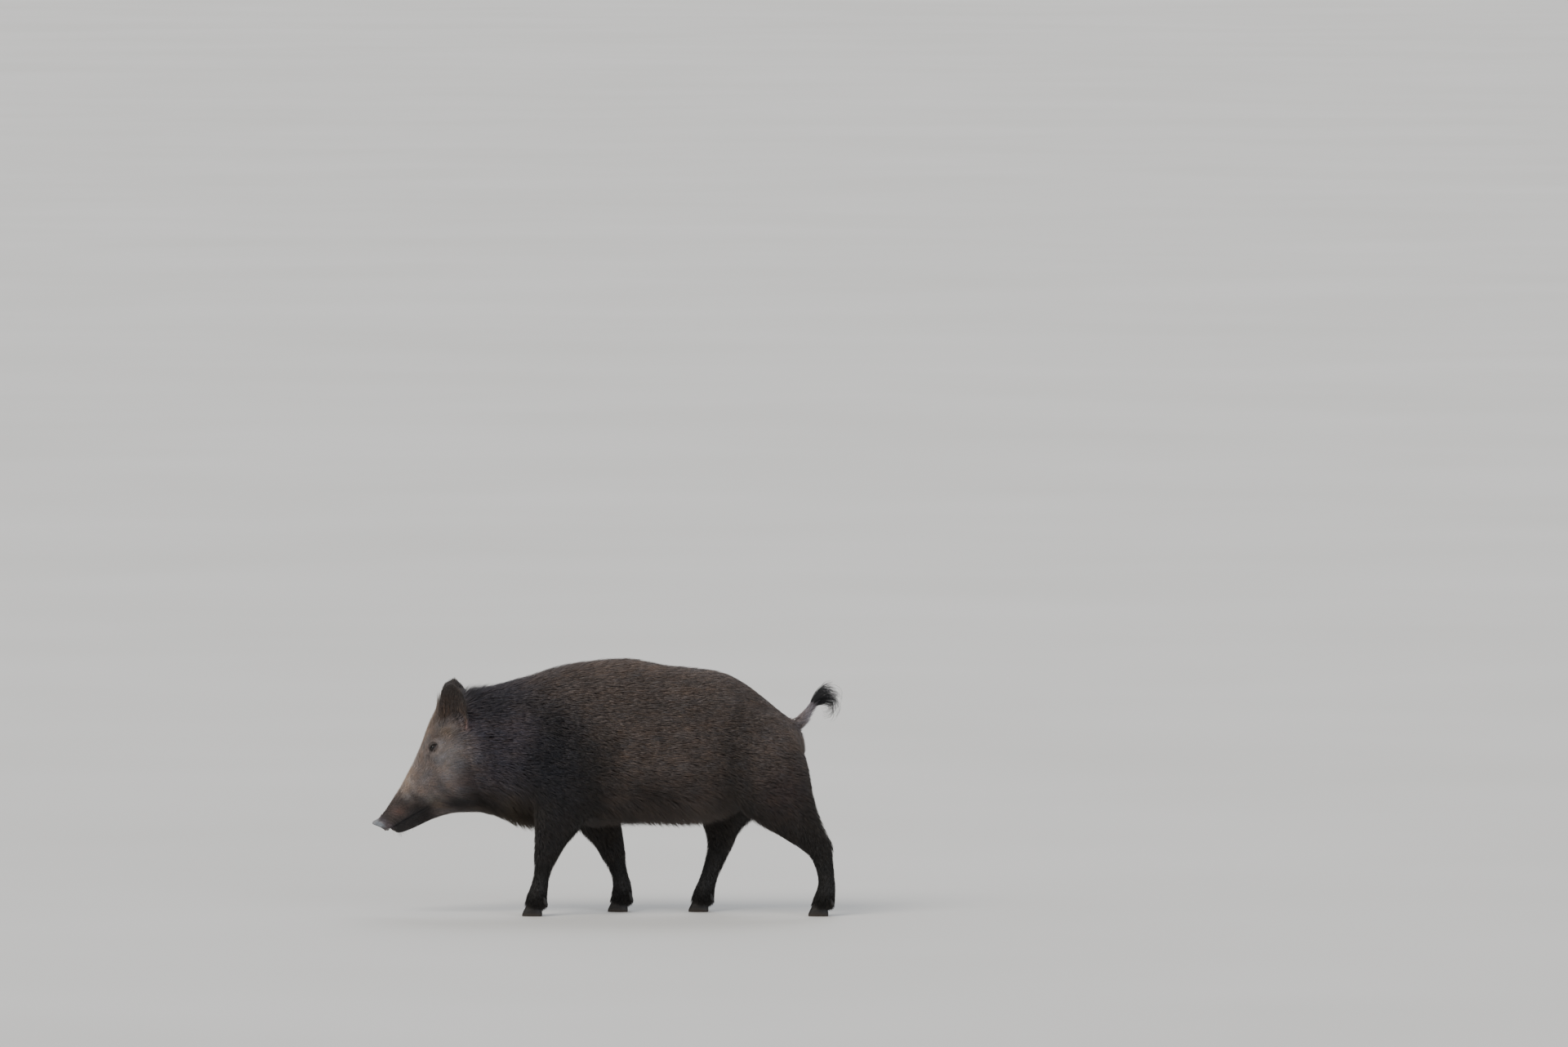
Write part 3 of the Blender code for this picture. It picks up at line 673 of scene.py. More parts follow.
    def half_width(self) -> Array:
        """Half width of the tufts at their widest."""
        return self.from_growths("half_width") * mix(1.0, 0.66, self.muzzle())

    def density(self) -> Array:
        """Number of tufts to the square metre."""
        density = self.from_growths("per_m2")
        density *= mix(1.0, 1.7, self.muzzle())
        density *= smoothstep(0.0006, 0.0050, self.from_slit())
        density *= smoothstep(0.018, 0.028, self.points[:, 2]) * (1.0 + 0.8 * self.coronet())
        density *= 1.0 - smoothstep(0.12, 0.45, self.share(Region.NOSE))
        return density * mix(1.0, 0.55, self.ear_inside())

    def loose(self) -> Array:
        """How far the tufts stand off from the body, 0 lying flat to 1."""
        loose = 0.05 + 0.06 * self.share(Region.TAIL) + self.added("loose")
        return np.clip(loose, 0.0, 0.9)

    def hanging(self) -> Array:
        """1 where the hair hangs down free of the body."""
        return np.clip(self.throat() + self.belly() + self.coronet(), 0, 1)

    def free_heading(self, lie: Array) -> Array:
        """Direction in which a tuft points that stands off from the body."""
        up = unit(lie + 0.75 * self.normals + (0.0, -0.5, 0.4) * self.crest()[:, None])
        up = mix(up, np.array((0.0, -0.22, 0.97)), self.forelock()[:, None])
        down = unit(mix(lie, self.normals, 0.6 * self.coronet()[:, None]) + (0.0, 0.0, -0.95))
        tail = np.array((0.0, 0.86, -0.10))
        return unit(mix(mix(up, down, self.hanging()[:, None]), tail, self.tail_fringe()[:, None]))

    def lie(self) -> Array:
        """Direction in which the coat lies at each point, along the skin.

        Returns:
            One direction of length one a point, square to the skin's normal.
        """
        x, y, z = self.points.T
        side = np.tanh(x / 0.02)
        zero, one = np.zeros(len(x)), np.ones(len(x))
        cheek = smoothstep(0.02, 0.13, self.behind_face())[:, None]
        face = np.stack([0.16 * side, one * FACE_LINE[0], one * FACE_LINE[1]], 1)
        jaw = np.stack([0.16 * side, one, one * -0.06], 1)
        throat = smoothstep(0.42, 0.30, z)
        shoulder = falloff(self.points, (0.15, -0.13, 0.40), (0.12, 0.13, 0.15))
        rump = smoothstep(0.36, 0.58, y) * smoothstep(0.78, 0.60, z)
        flows = {
            Region.HEAD: mix(face, jaw, cheek),
            Region.NOSE: face,
            Region.NECK: np.stack([zero, one, -0.10 - 0.45 * throat], 1),
            Region.TRUNK: np.stack([zero, one, -0.08 - 0.40 * shoulder - 0.35 * rump], 1),
            Region.UPPER_LEG: np.stack([zero, one, -0.25 - 2.2 * smoothstep(0.40, 0.17, z)], 1),
            Region.LOWER_LEG: np.stack([zero, 0.08 * one, -one], 1),
            Region.EAR: np.stack([side * EAR_UP[0], one * EAR_UP[1], one * EAR_UP[2]], 1),
            Region.TAIL: np.stack([zero, 0.62 * one, 0.78 * one], 1),
        }
        total = np.zeros_like(self.points)
        for region, flow in flows.items():
            total += self.share(region)[:, None] * unit(flow)
        for axis in range(3):
            total[:, axis] += 0.10 * ripple(self.points, 0.085, 31 + axis)
        total -= (total * self.normals).sum(1, keepdims=True) * self.normals
        return unit(total)


@dataclass(frozen=True)
class Patch:
    """A patch of another colour: where it is, how wide, and how strongly it covers."""

    colour: str
    centre: tuple[float, float, float]
    radii: tuple[float, float, float]
    cover: float = 1.0


@dataclass(frozen=True)
class Markings:
    """The colours of skin and coat over the body, shared by both."""

    regions: tuple[tuple[Region, str], ...] = (
        (Region.TRUNK, "#5c514b"),
        (Region.NECK, "#454047"),
        (Region.HEAD, "#857a76"),
        (Region.EAR, "#3b3431"),
        (Region.UPPER_LEG, "#292522"),
        (Region.LOWER_LEG, "#1c1a18"),
        (Region.TAIL, "#9d9599"),
        (Region.NOSE, "#8e9093"),
    )
    patches: tuple[Patch, ...] = (
        # shoulder and neck, and painted shadow behind the elbow
        Patch("#232329", (0.14, -0.175, 0.43), (0.20, 0.100, 0.19)),
        Patch("#26262d", (0.12, -0.34, 0.61), (0.20, 0.070, 0.045), 0.85),
        Patch("#554d54", (0.12, -0.27, 0.535), (0.20, 0.050, 0.045), 0.7),
        # painted shade: the deep shadow behind the elbow
        Patch("#1c1b1d", (0.14, 0.03, 0.295), (0.16, 0.070, 0.030), 0.9),
        # back, flank, ham, groin and belly fringe, with painted top light on the back and painted shade
        # on the low flank and in the groin
        # paler hair along the back, lightened further with painted top light
        Patch("#6f625a", (0.05, 0.10, 0.72), (0.16, 0.260, 0.06), 0.7),
        # painted shade: the belly's shadow on the low flank
        Patch("#302823", (0.14, 0.12, 0.36), (0.20, 0.130, 0.05), 0.85),
        Patch("#6b5f59", (0.12, 0.49, 0.51), (0.20, 0.110, 0.13), 0.8),
        Patch("#433634", (0.12, 0.50, 0.370), (0.20, 0.075, 0.070), 0.7),
        # painted shade in the groin
        Patch("#262320", (0.12, 0.36, 0.30), (0.20, 0.070, 0.06), 0.8),
        Patch("#2d2722", (0.10, 0.15, 0.27), (0.20, 0.240, 0.045), 0.7),
        # throat and jaw, with painted shade under the jaw
        Patch("#51462f", (0.00, -0.300, 0.325), (0.12, 0.120, 0.060), 0.8),
        Patch("#433a3b", (0.12, -0.395, 0.405), (0.12, 0.045, 0.055), 0.8),
        Patch("#6a5752", (0.10, -0.432, 0.384), (0.05, 0.016, 0.010), 0.5),
        Patch("#4f4846", (0.09, -0.490, 0.447), (0.05, 0.035, 0.009), 0.5),
        # under the jaw: dark hair, darkened further with painted shade of the jaw's underside
        Patch("#242120", (0.06, -0.437, 0.330), (0.16, 0.052, 0.026), 0.92),
        Patch("#272423", (0.06, -0.380, 0.345), (0.16, 0.045, 0.028), 0.85),
        Patch("#7d705e", (0.07, -0.505, 0.328), (0.05, 0.022, 0.022), 0.6),
        # forehead, bridge and cheek, with painted shade in the fold above the eye
        Patch("#7b6a5a", (0.00, -0.512, 0.540), (0.050, 0.050, 0.065), 0.85),
        Patch("#b7a596", (0.00, -0.590, 0.400), (0.060, 0.050, 0.075), 0.85),
        Patch("#958e8a", (0.09, -0.455, 0.464), (0.05, 0.040, 0.045), 0.7),
        Patch("#433932", (0.04, -0.480, 0.598), (0.070, 0.038, 0.036), 0.88),
        Patch("#7a6853", (0.08, -0.466, 0.532), (0.035, 0.032, 0.017), 0.65),
        Patch("#857470", (0.075, -0.519, 0.480), (0.020, 0.008, 0.014), 0.7),
        # painted shade: the dark fold of the brow above the eye
        Patch("#453b37", (0.065, -0.502, 0.515), (0.030, 0.022, 0.006), 0.6),
        Patch("#443b38", (0.075, -0.515, 0.456), (0.030, 0.009, 0.008), 0.6),
        # chin
        Patch("#2a2424", (0.00, -0.610, 0.238), (0.060, 0.040, 0.022), 0.95),
        # crest and the spot behind the ear's root
        Patch("#232023", (0.00, -0.430, 0.612), (0.045, 0.045, 0.040), 0.95),
        Patch("#7d6463", (0.092, -0.409, 0.553), (0.020, 0.011, 0.012), 0.8),
    )

    def colours(self, body: BodyMap) -> Array:
        """The colour at each point of the body.

        Args:
            body: The body's regions at the points.

        Returns:
            Linear red, green, blue and alpha, one row a point.
        """
        table = np.zeros((len(Region), 4))
        for region, colour in self.regions:
            table[region.value] = linear(colour)
        total = body.shares @ table
        nose = 1.0 - smoothstep(0.3, 0.7, body.share(Region.NOSE))
        for patch in self.patches:
            weight = patch.cover * falloff(body.points, patch.centre, patch.radii) * nose
            total = mix(total, np.array(linear(patch.colour)), weight[:, None])
        return self.details(body, total)

    def details(self, body: BodyMap, total: Array) -> Array:
        """Adds the marks of face, nose and ears, painted shade by eyes, mouth and disc, and a slow
        unevenness over the coat.
        """
        _, y, z = body.points.T
        along, up, _ = EYE.local(body.points)
        by_eye = body.from_slit() < 0.029
        tear = distance_to_line(along, up, TEAR_STAIN)
        ear, height, head = body.ear_inside(), body.ear_height(), body.share(Region.HEAD)
        lips = distance_to_line(y, z, MOUTH_LINE)
        saddle = z - 0.346 + 0.21 * (y + 0.600) - 0.009 * ripple(body.points, 0.035, 12)
        saddle = smoothstep(0.024, -0.022, saddle - 0.006 * ripple(body.points, 0.007, 14))
        saddle *= smoothstep(-0.478, -0.535, y)
        hind_edge = y + 0.010 * ripple(body.points, 0.05, 16)
        mantle = smoothstep(-0.048, -0.086, hind_edge) * smoothstep(-0.30, -0.17, y)
        mantle *= smoothstep(0.635, 0.555, z + 0.35 * (y + 0.15)) * body.share(Region.TRUNK)
        disc_up = (body.points - DISC_CENTRE) @ unit(DISC_UP)
        nose = body.share(Region.NOSE)
        shaded_disc_face = smoothstep(0.80, 0.97, body.normals @ unit(DISC_FACING))
        disc_crazing = smoothstep(-0.2, 0.9, ripple(body.points, 0.006, 15))
        behind_disc = smoothstep(0.016, 0.004, body.along_face())
        behind_disc = behind_disc * smoothstep(0.06, 0.04, body.behind_face())
        marks = (
            ("#222227", 0.70 * mantle),
            ("#4b3f39", 0.75 * ear * smoothstep(1.05, 0.5, height)),
            ("#66503f", 0.5 * ear * smoothstep(0.40, 0.1, height)),
            ("#3b302c", 0.92 * head * saddle),
            ("#6b4d43", 0.60 * head * falloff(body.points, (0.05, -0.603, 0.301), (0.05, 0.018, 0.012))),
            # painted shade in the corners of the mouth
            ("#221c1b", 0.85 * head * falloff(body.points, (0.05, -0.548, 0.306), (0.07, 0.030, 0.026))),
            ("#211b1a", 0.85 * head * smoothstep(0.012, -0.016, z - 0.272 - 0.55 * (y + 0.6)) * saddle),
            # darker skin round the eye: its own colour, with painted shade of the brow and lid folds
            ("#4d413d", 0.50 * smoothstep(0.0120, 0.0050, body.from_slit())),
            ("#161212", 0.94 * smoothstep(0.0046, 0.0014, body.from_slit())),
            ("#2a2424", 0.75 * by_eye * bell(tear, 0.0, 0.0028)),
            ("#181414", 0.80 * smoothstep(0.010, 0.002, lips) * head),
            ("#5f5458", 0.80 * head * behind_disc),
            # painted shade on the lower part and the downward face of the nose disc, whose rim stays pale
            ("#4f474b", 0.85 * nose * smoothstep(0.004, -0.014, disc_up)),
            ("#3b3336", 0.90 * nose * shaded_disc_face),
            ("#5b5455", 0.28 * nose * disc_crazing),
        )
        for colour, weight in marks:
            total = mix(total, np.array(linear(colour)), weight[:, None])
        streaked = ripple(body.points * (1.0, 0.28, 1.0), 0.0085, 9)
        uneven = 1.0 + 0.13 * ripple(body.points, 0.060, 5) + 0.09 * ripple(body.points, 0.022, 6)
        uneven += 0.13 * streaked
        warmth = 0.05 * ripple(body.points, 0.045, 8)
        total[:, :3] *= uneven[:, None] * (1.0 + warmth[:, None] * (1.0, 0.0, -1.0))
        return np.clip(total, 0.0, 1.0)


# ----------------------------------------
# Finishes


@dataclass(frozen=True)
class HideFinish:
    """Boar hide under short hair: tough grey-brown skin, dull, with the fine grain of the hair on it."""

    hair_across: float = 0.0009  # spacing of the short hairs, drawn three times coarser than life to show
    hair_along: float = 0.009
    pore: float = 0.0017

    def make(self) -> Material:
        """The material for the skin.

        Returns:
            A material that reads the skin's markings, lie, bare and pored attributes.
        """
        material, tree, shader = new_material("boar_hide")
        names = ("markings", "lie_place", "bare", "pored")
        markings, lie, bare, pored = (add_node(tree, "Attribute", attribute_name=name) for name in names)
        bareness = bare.outputs["Fac"]
        scale = (1 / self.hair_across, 1 / self.hair_along, 1 / self.hair_across)
        stretched = add_node(tree, "Mapping", {"Vector": lie.outputs["Vector"], "Scale": scale})
        hairs = add_node(tree, "TexNoise", {"Vector": stretched.outputs[0], "Scale": 1.0, "Detail": 2.0})
        # the markings are darkened on the hide by the drawn grain of its short hair and by painted shade,
        # so that skin seen between the tufts looks deep in the coat
        shade = ramp(tree, hairs.outputs["Fac"], [(0.30, "#8c8c8c"), (0.70, "#e2e2e2")])
        tones = {"Factor": bareness, 6: shade.outputs[0], 7: linear("#c8c8c8")}
        plain = add_node(tree, "Mix", tones, data_type="RGBA")
        layers = {"Factor": 1.0, 6: markings.outputs["Color"], 7: plain.outputs[2]}
        colour = add_node(tree, "Mix", layers, data_type="RGBA", blend_type="MULTIPLY")
        rough = add_node(tree, "MapRange", {"Value": bareness, "To Min": 0.62, "To Max": 0.40})
        hairy = add_node(tree, "MapRange", {"Value": bareness, "To Min": 0.7, "To Max": 0.06})
        grain = {"Height": hairs.outputs["Fac"], "Strength": hairy.outputs[0], "Distance": 0.0008}
        fur = add_node(tree, "Bump", grain)
        place = add_node(tree, "TexCoord").outputs["Object"]
        cells = {"Vector": place, "Scale": 1 / self.pore}
        creases = add_node(tree, "TexVoronoi", cells, feature="DISTANCE_TO_EDGE")
        crease = add_node(tree, "MapRange", {"Value": creases.outputs["Distance"], "From Max": 0.16})
        depth = add_node(tree, "Math", {0: pored.outputs["Fac"], 1: 0.5}, operation="MULTIPLY")
        relief = {"Height": crease.outputs[0], "Strength": depth.outputs[0], "Distance": 0.0002}
        skin = add_node(tree, "Bump", relief | {"Normal": fur.outputs[0]})
        feed(tree, shader, {"Base Color": colour.outputs[2], "Roughness": rough.outputs[0], "IOR": 1.45})
        feed(tree, shader, {"Normal": skin.outputs[0]})
        return material


@dataclass(frozen=True)
class BristleFinish:
    """Boar bristle: horny keratin hair, satin, dark at the root and paler towards its split tip."""

    name: str = "boar_bristle"
    root_shade: float = 0.88
    own_range: float = 0.18
    tip_gain: float = 1.6
    pale_share: float = 0.45
    tip_colour: str = "#7d6f62"

    def make(self) -> Material:
        """The material for a coat piece.

        Returns:
            A material that reads the tufts' markings, along and tone attributes.
        """
        material, tree, shader = new_material(self.name)
        names = ("markings", "along", "tone")
        markings, along, tone = (add_node(tree, "Attribute", attribute_name=name) for name in names)
        marked, run, luck = markings.outputs["Color"], along.outputs["Fac"], tone.outputs["Fac"]
        rise = add_node(tree, "MapRange", {"Value": run, "From Max": 0.5, "To Min": self.root_shade})
        spread_out = {"To Min": 1 - self.own_range, "To Max": 1 + self.own_range}
        own = add_node(tree, "MapRange", {"Value": luck} | spread_out)
        shade = add_node(tree, "Math", {0: rise.outputs[0], 1: own.outputs[0]}, operation="MULTIPLY")
        base = add_node(tree, "VectorMath", {0: marked, "Scale": shade.outputs[0]}, operation="SCALE")
        pale = add_node(tree, "MapRange", {"Value": luck, "From Min": 1 - self.pale_share})
        tip = add_node(tree, "MapRange", {"Value": run, "From Min": 0.45, "From Max": 0.95})
        amount = add_node(tree, "Math", {0: pale.outputs[0], 1: tip.outputs[0]}, operation="MULTIPLY")
        bright = add_node(tree, "VectorMath", {0: marked, "Scale": self.tip_gain}, operation="SCALE")
        split = {"Factor": 0.25, 6: bright.outputs[0], 7: linear(self.tip_colour)}
        warm = add_node(tree, "Mix", split, data_type="RGBA")
        ends = {"Factor": amount.outputs[0], 6: base.outputs[0], 7: warm.outputs[2]}
        colour = add_node(tree, "Mix", ends, data_type="RGBA")
        feed(tree, shader, {"Base Color": colour.outputs[2], "Roughness": 0.50, "IOR": 1.50})
        return material


@dataclass(frozen=True)
class HornFinish:
    """Hoof horn: black-brown keratin, worn satin, with growth rings across and fine fibres down it."""

    ring_spacing: float = 0.0035
    fibre: float = 0.0007

    def make(self) -> Material:
        """The material for hooves and dewclaws.

        Returns:
            A material on Object coordinates.
        """
        material, tree, shader = new_material("hoof_keratin")
        place = add_node(tree, "TexCoord").outputs["Object"]
        noises = []
        for scale, detail in (
            ((12.0, 12.0, 1 / self.ring_spacing), 2.0),
            ((1 / self.fibre, 1 / self.fibre, 30.0), 1.0),
        ):
            drawn = add_node(tree, "Mapping", {"Vector": place, "Scale": scale}).outputs[0]
            noise = add_node(tree, "TexNoise", {"Vector": drawn, "Scale": 1.0, "Detail": detail})
            noises.append(noise.outputs["Fac"])
        mixed = add_node(tree, "Math", dict(enumerate(noises)), operation="ADD")
        half = add_node(tree, "Math", {0: mixed.outputs[0], 1: 0.5}, operation="MULTIPLY")
        horn = ramp(tree, half.outputs[0], [(0.35, "#0d0b0a"), (0.55, "#1a1714"), (0.72, "#2b2520")])
        height = add_node(tree, "SeparateXYZ", {"Vector": place}).outputs["Z"]
        worn = add_node(tree, "MapRange", {"Value": height, "From Min": 0.012, "From Max": 0.0})
        edge = {"Factor": worn.outputs[0], 6: horn.outputs[0], 7: linear("#352e28")}
        colour = add_node(tree, "Mix", edge, data_type="RGBA")
        bump = add_node(tree, "Bump", {"Height": half.outputs[0], "Strength": 0.6, "Distance": 0.0006})
        satin = {"Roughness": 0.52, "IOR": 1.54, "Specular IOR Level": 0.30}
        feed(tree, shader, {"Base Color": colour.outputs[2], "Normal": bump.outputs[0]} | satin)
        return material


@dataclass(frozen=True)
class EyeFinish:
    """A wet eye: dark brown iris round a wide pupil under a clear cornea, with a brown-stained white."""

    def make(self) -> Material:
        """The material for the eyeballs.

        Returns:
            A material that reads the eye's from_axis and spoke attributes.
        """
        material, tree, shader = new_material("wet_eye")
        names = ("from_axis", "spoke")
        from_axis, spokes = (add_node(tree, "Attribute", attribute_name=name) for name in names)
        drawn = {"Vector": spokes.outputs["Vector"], "Scale": 9.0, "Detail": 2.0}
        fleck = add_node(tree, "TexNoise", drawn)
        stops = [
            (0.00, "#030202"), (0.34, "#030202"), (0.40, "#1c110a"), (0.58, "#26170d"),
            (0.66, "#0b0705"), (0.76, "#1e1512"), (1.00, "#2f2420"),
        ]
        iris = ramp(tree, from_axis.outputs["Fac"], stops)
        flecks = add_node(tree, "MapRange", {"Value": fleck.outputs["Fac"], "To Min": 0.6, "To Max": 1.5})
        flecked = {0: iris.outputs[0], "Scale": flecks.outputs[0]}
        colour = add_node(tree, "VectorMath", flecked, operation="SCALE")
        wet = {"Roughness": 0.30, "Specular IOR Level": 0.15, "Coat Weight": 0.45, "Coat Roughness": 0.02}
        feed(tree, shader, {"Base Color": colour.outputs[0]} | wet)
        return material


@dataclass(frozen=True)
class FloorFinish:
    """Matt painted studio floor, pale warm grey, with the faintest mottling."""

    colours: tuple[str, str] = ("#c9c8c4", "#cfcecb")

    def make(self) -> Material:
        """The material for the floor."""
        material, tree, shader = new_material("matt_floor_paint")
        place = add_node(tree, "TexCoord").outputs["Object"]
        cloud = add_node(tree, "TexNoise", {"Vector": place, "Scale": 0.4, "Detail": 2.0})
        tint = ramp(tree, cloud.outputs["Fac"], [(0.3, self.colours[0]), (0.7, self.colours[1])])
        feed(tree, shader, {"Base Color": tint.outputs[0], "Roughness": 0.85})
        return material


# ----------------------------------------
# The skin


@dataclass
class Face:
    """The fine forms of the face, pushed into the skin once it is fine enough to hold them."""

    lid_thickness: float = 0.0014
    brow: float = 0.0042
    fold_spacing: float = 0.0085
    disc_lip: float = 0.0100
    disc_squareness: float = 2.4

    def shape(self, body: BodyMap) -> Array:
        """All of the face's fine forms.

        Args:
            body: The skin's points in the body's measuring frame.

        Returns:
            The points' new places.
        """
        raised = self.mouth(body) + self.snout_folds(body) + self.ear_folds(body)
        return self.eyelids(self.disc(body.points + raised[:, None] * body.normals))

    def eyelids(self, points: Array) -> Array:
        """Wraps the skin round each eyeball as lids, with a slit, folds, brow and tear groove."""
        along, up, out = EYE.local(points)
        gaze = EYE.axes()[2]
        radial = np.hypot(along, up)
        reach = (radial < 0.036) & (out > -0.014)
        edge = EYE.edge(along, up)
        above = smoothstep(-0.0015, 0.0015, up)
        ball = np.sqrt(np.maximum((EYE_RADIUS + self.lid_thickness) ** 2 - radial**2, 0.0))
        behind = np.sqrt(np.maximum((EYE_RADIUS - 0.0015) ** 2 - radial**2, 0.0))
        lid = ball + 0.0007 * bell(edge, 0.0009, 0.0008)
        lid -= 0.0011 * above * bell(edge, 0.0044, 0.0009)
        lid -= 0.0006 * (1 - above) * bell(edge, 0.0036, 0.0008)
        skin = out + self.brow * bell(up, 0.0145, 0.0060) * bell(along, -0.002, 0.018)
        skin += 0.0016 * bell(up, -0.0165, 0.0060) * bell(along, 0.0, 0.018)
        tear = distance_to_line(along, up, TEAR_GROOVE)
        skin -= 0.0018 * bell(tear, 0.0, 0.0022)
        for place, depth in ((0.0088, 0.0006), (0.0125, 0.0005)):
            skin -= depth * (1 - above) * bell(edge, place, 0.0010)
        target = mix(lid, skin, smoothstep(0.0085, 0.0175, radial))
        target = mix(target, behind, smoothstep(0.0004, -0.0004, edge))
        side = np.where(points[:, :1] < 0, -1.0, 1.0) * (1, 0, 0) + (0, 1, 1)
        moved = points + (target - out)[:, None] * gaze * side
        return np.where(reach[:, None], moved, points)

    def disc(self, points: Array) -> Array:
        """The nose disc's raised rim, hollow face, two nostrils and the groove down its middle."""
        facing, upward = unit(DISC_FACING), unit(DISC_UP)
        local = points - DISC_CENTRE
        across, up, out = local[:, 0], local @ upward, local @ facing
        square = self.disc_squareness
        ring = np.abs(across / DISC_HALF_WIDTH) ** square + np.abs(up / DISC_HALF_HEIGHT) ** square
        ring = ring ** (1 / square)
        front = (ring < 1.25) & (out > -0.002)
        nostril = np.hypot((np.abs(across) - NOSTRIL_X) * 0.85, (up - 0.001) * 1.05)
        push = 0.0018 * bell(ring, 0.86, 0.09)
        push -= 0.0020 * smoothstep(0.75, 0.25, ring)
        push += 0.0012 * bell(nostril, 0.0086, 0.0016)
        push -= 0.0120 * smoothstep(0.0070, 0.0040, nostril)
        push -= 0.0010 * bell(across, 0.0, 0.0013) * smoothstep(0.004, -0.010, up)
        lip = smoothstep(-0.1, 0.9, up / DISC_HALF_HEIGHT) * smoothstep(-0.008, 0.006, out)
        lip *= (ring < 1.35) * (1.0 - 0.45 * np.minimum(np.abs(across) / DISC_HALF_WIDTH, 1.0) ** 2)
        forward = unit((0.0, -0.93, -0.36))
        moved = points + np.where(front, push, 0.0)[:, None] * facing
        return moved + (self.disc_lip * lip * (points[:, 1] < -0.6))[:, None] * forward

    def snout_folds(self, body: BodyMap) -> Array:
        """The shallow folds across the snout behind the disc."""
        along = body.along_face()
        fade = smoothstep(-0.004, 0.008, along) * smoothstep(0.090, 0.030, along)
        fade = fade * smoothstep(0.080, 0.050, body.behind_face())
        bend = along + 0.0025 * ripple(body.points, 0.03, 77) - 0.010 * (body.points[:, 0] / 0.04) ** 2
        wave = np.sin(math.tau * bend / self.fold_spacing)
        return 0.0007 * fade * (wave - 0.4 * np.cos(2 * math.tau * bend / self.fold_spacing))

    def ear_folds(self, body: BodyMap) -> Array:
        """The low ridges that run up the ears' hollow side."""
        folded = fold(body.points) - EAR_ROOT
        across = folded @ unit(np.cross(EAR_UP, EAR_OPENING))
        height = body.ear_height()
        fade = body.ear_inside() * smoothstep(0.02, 0.15, height) * smoothstep(0.80, 0.45, height)
        return 0.0012 * fade * np.cos(math.tau * across / (0.011 + 0.004 * (1 - height)))

    def mouth(self, body: BodyMap) -> Array:
        """The closed line of the mouth between full lips."""
        _, y, z = body.points.T
        near = distance_to_line(y, z, MOUTH_LINE)
        on_head = smoothstep(-0.48, -0.50, y) * smoothstep(0.45, 0.38, z)
        lips = 0.0012 * bell(near, 0.0050, 0.0030) - 0.0026 * bell(near, 0.0, 0.0015)
        return lips * on_head


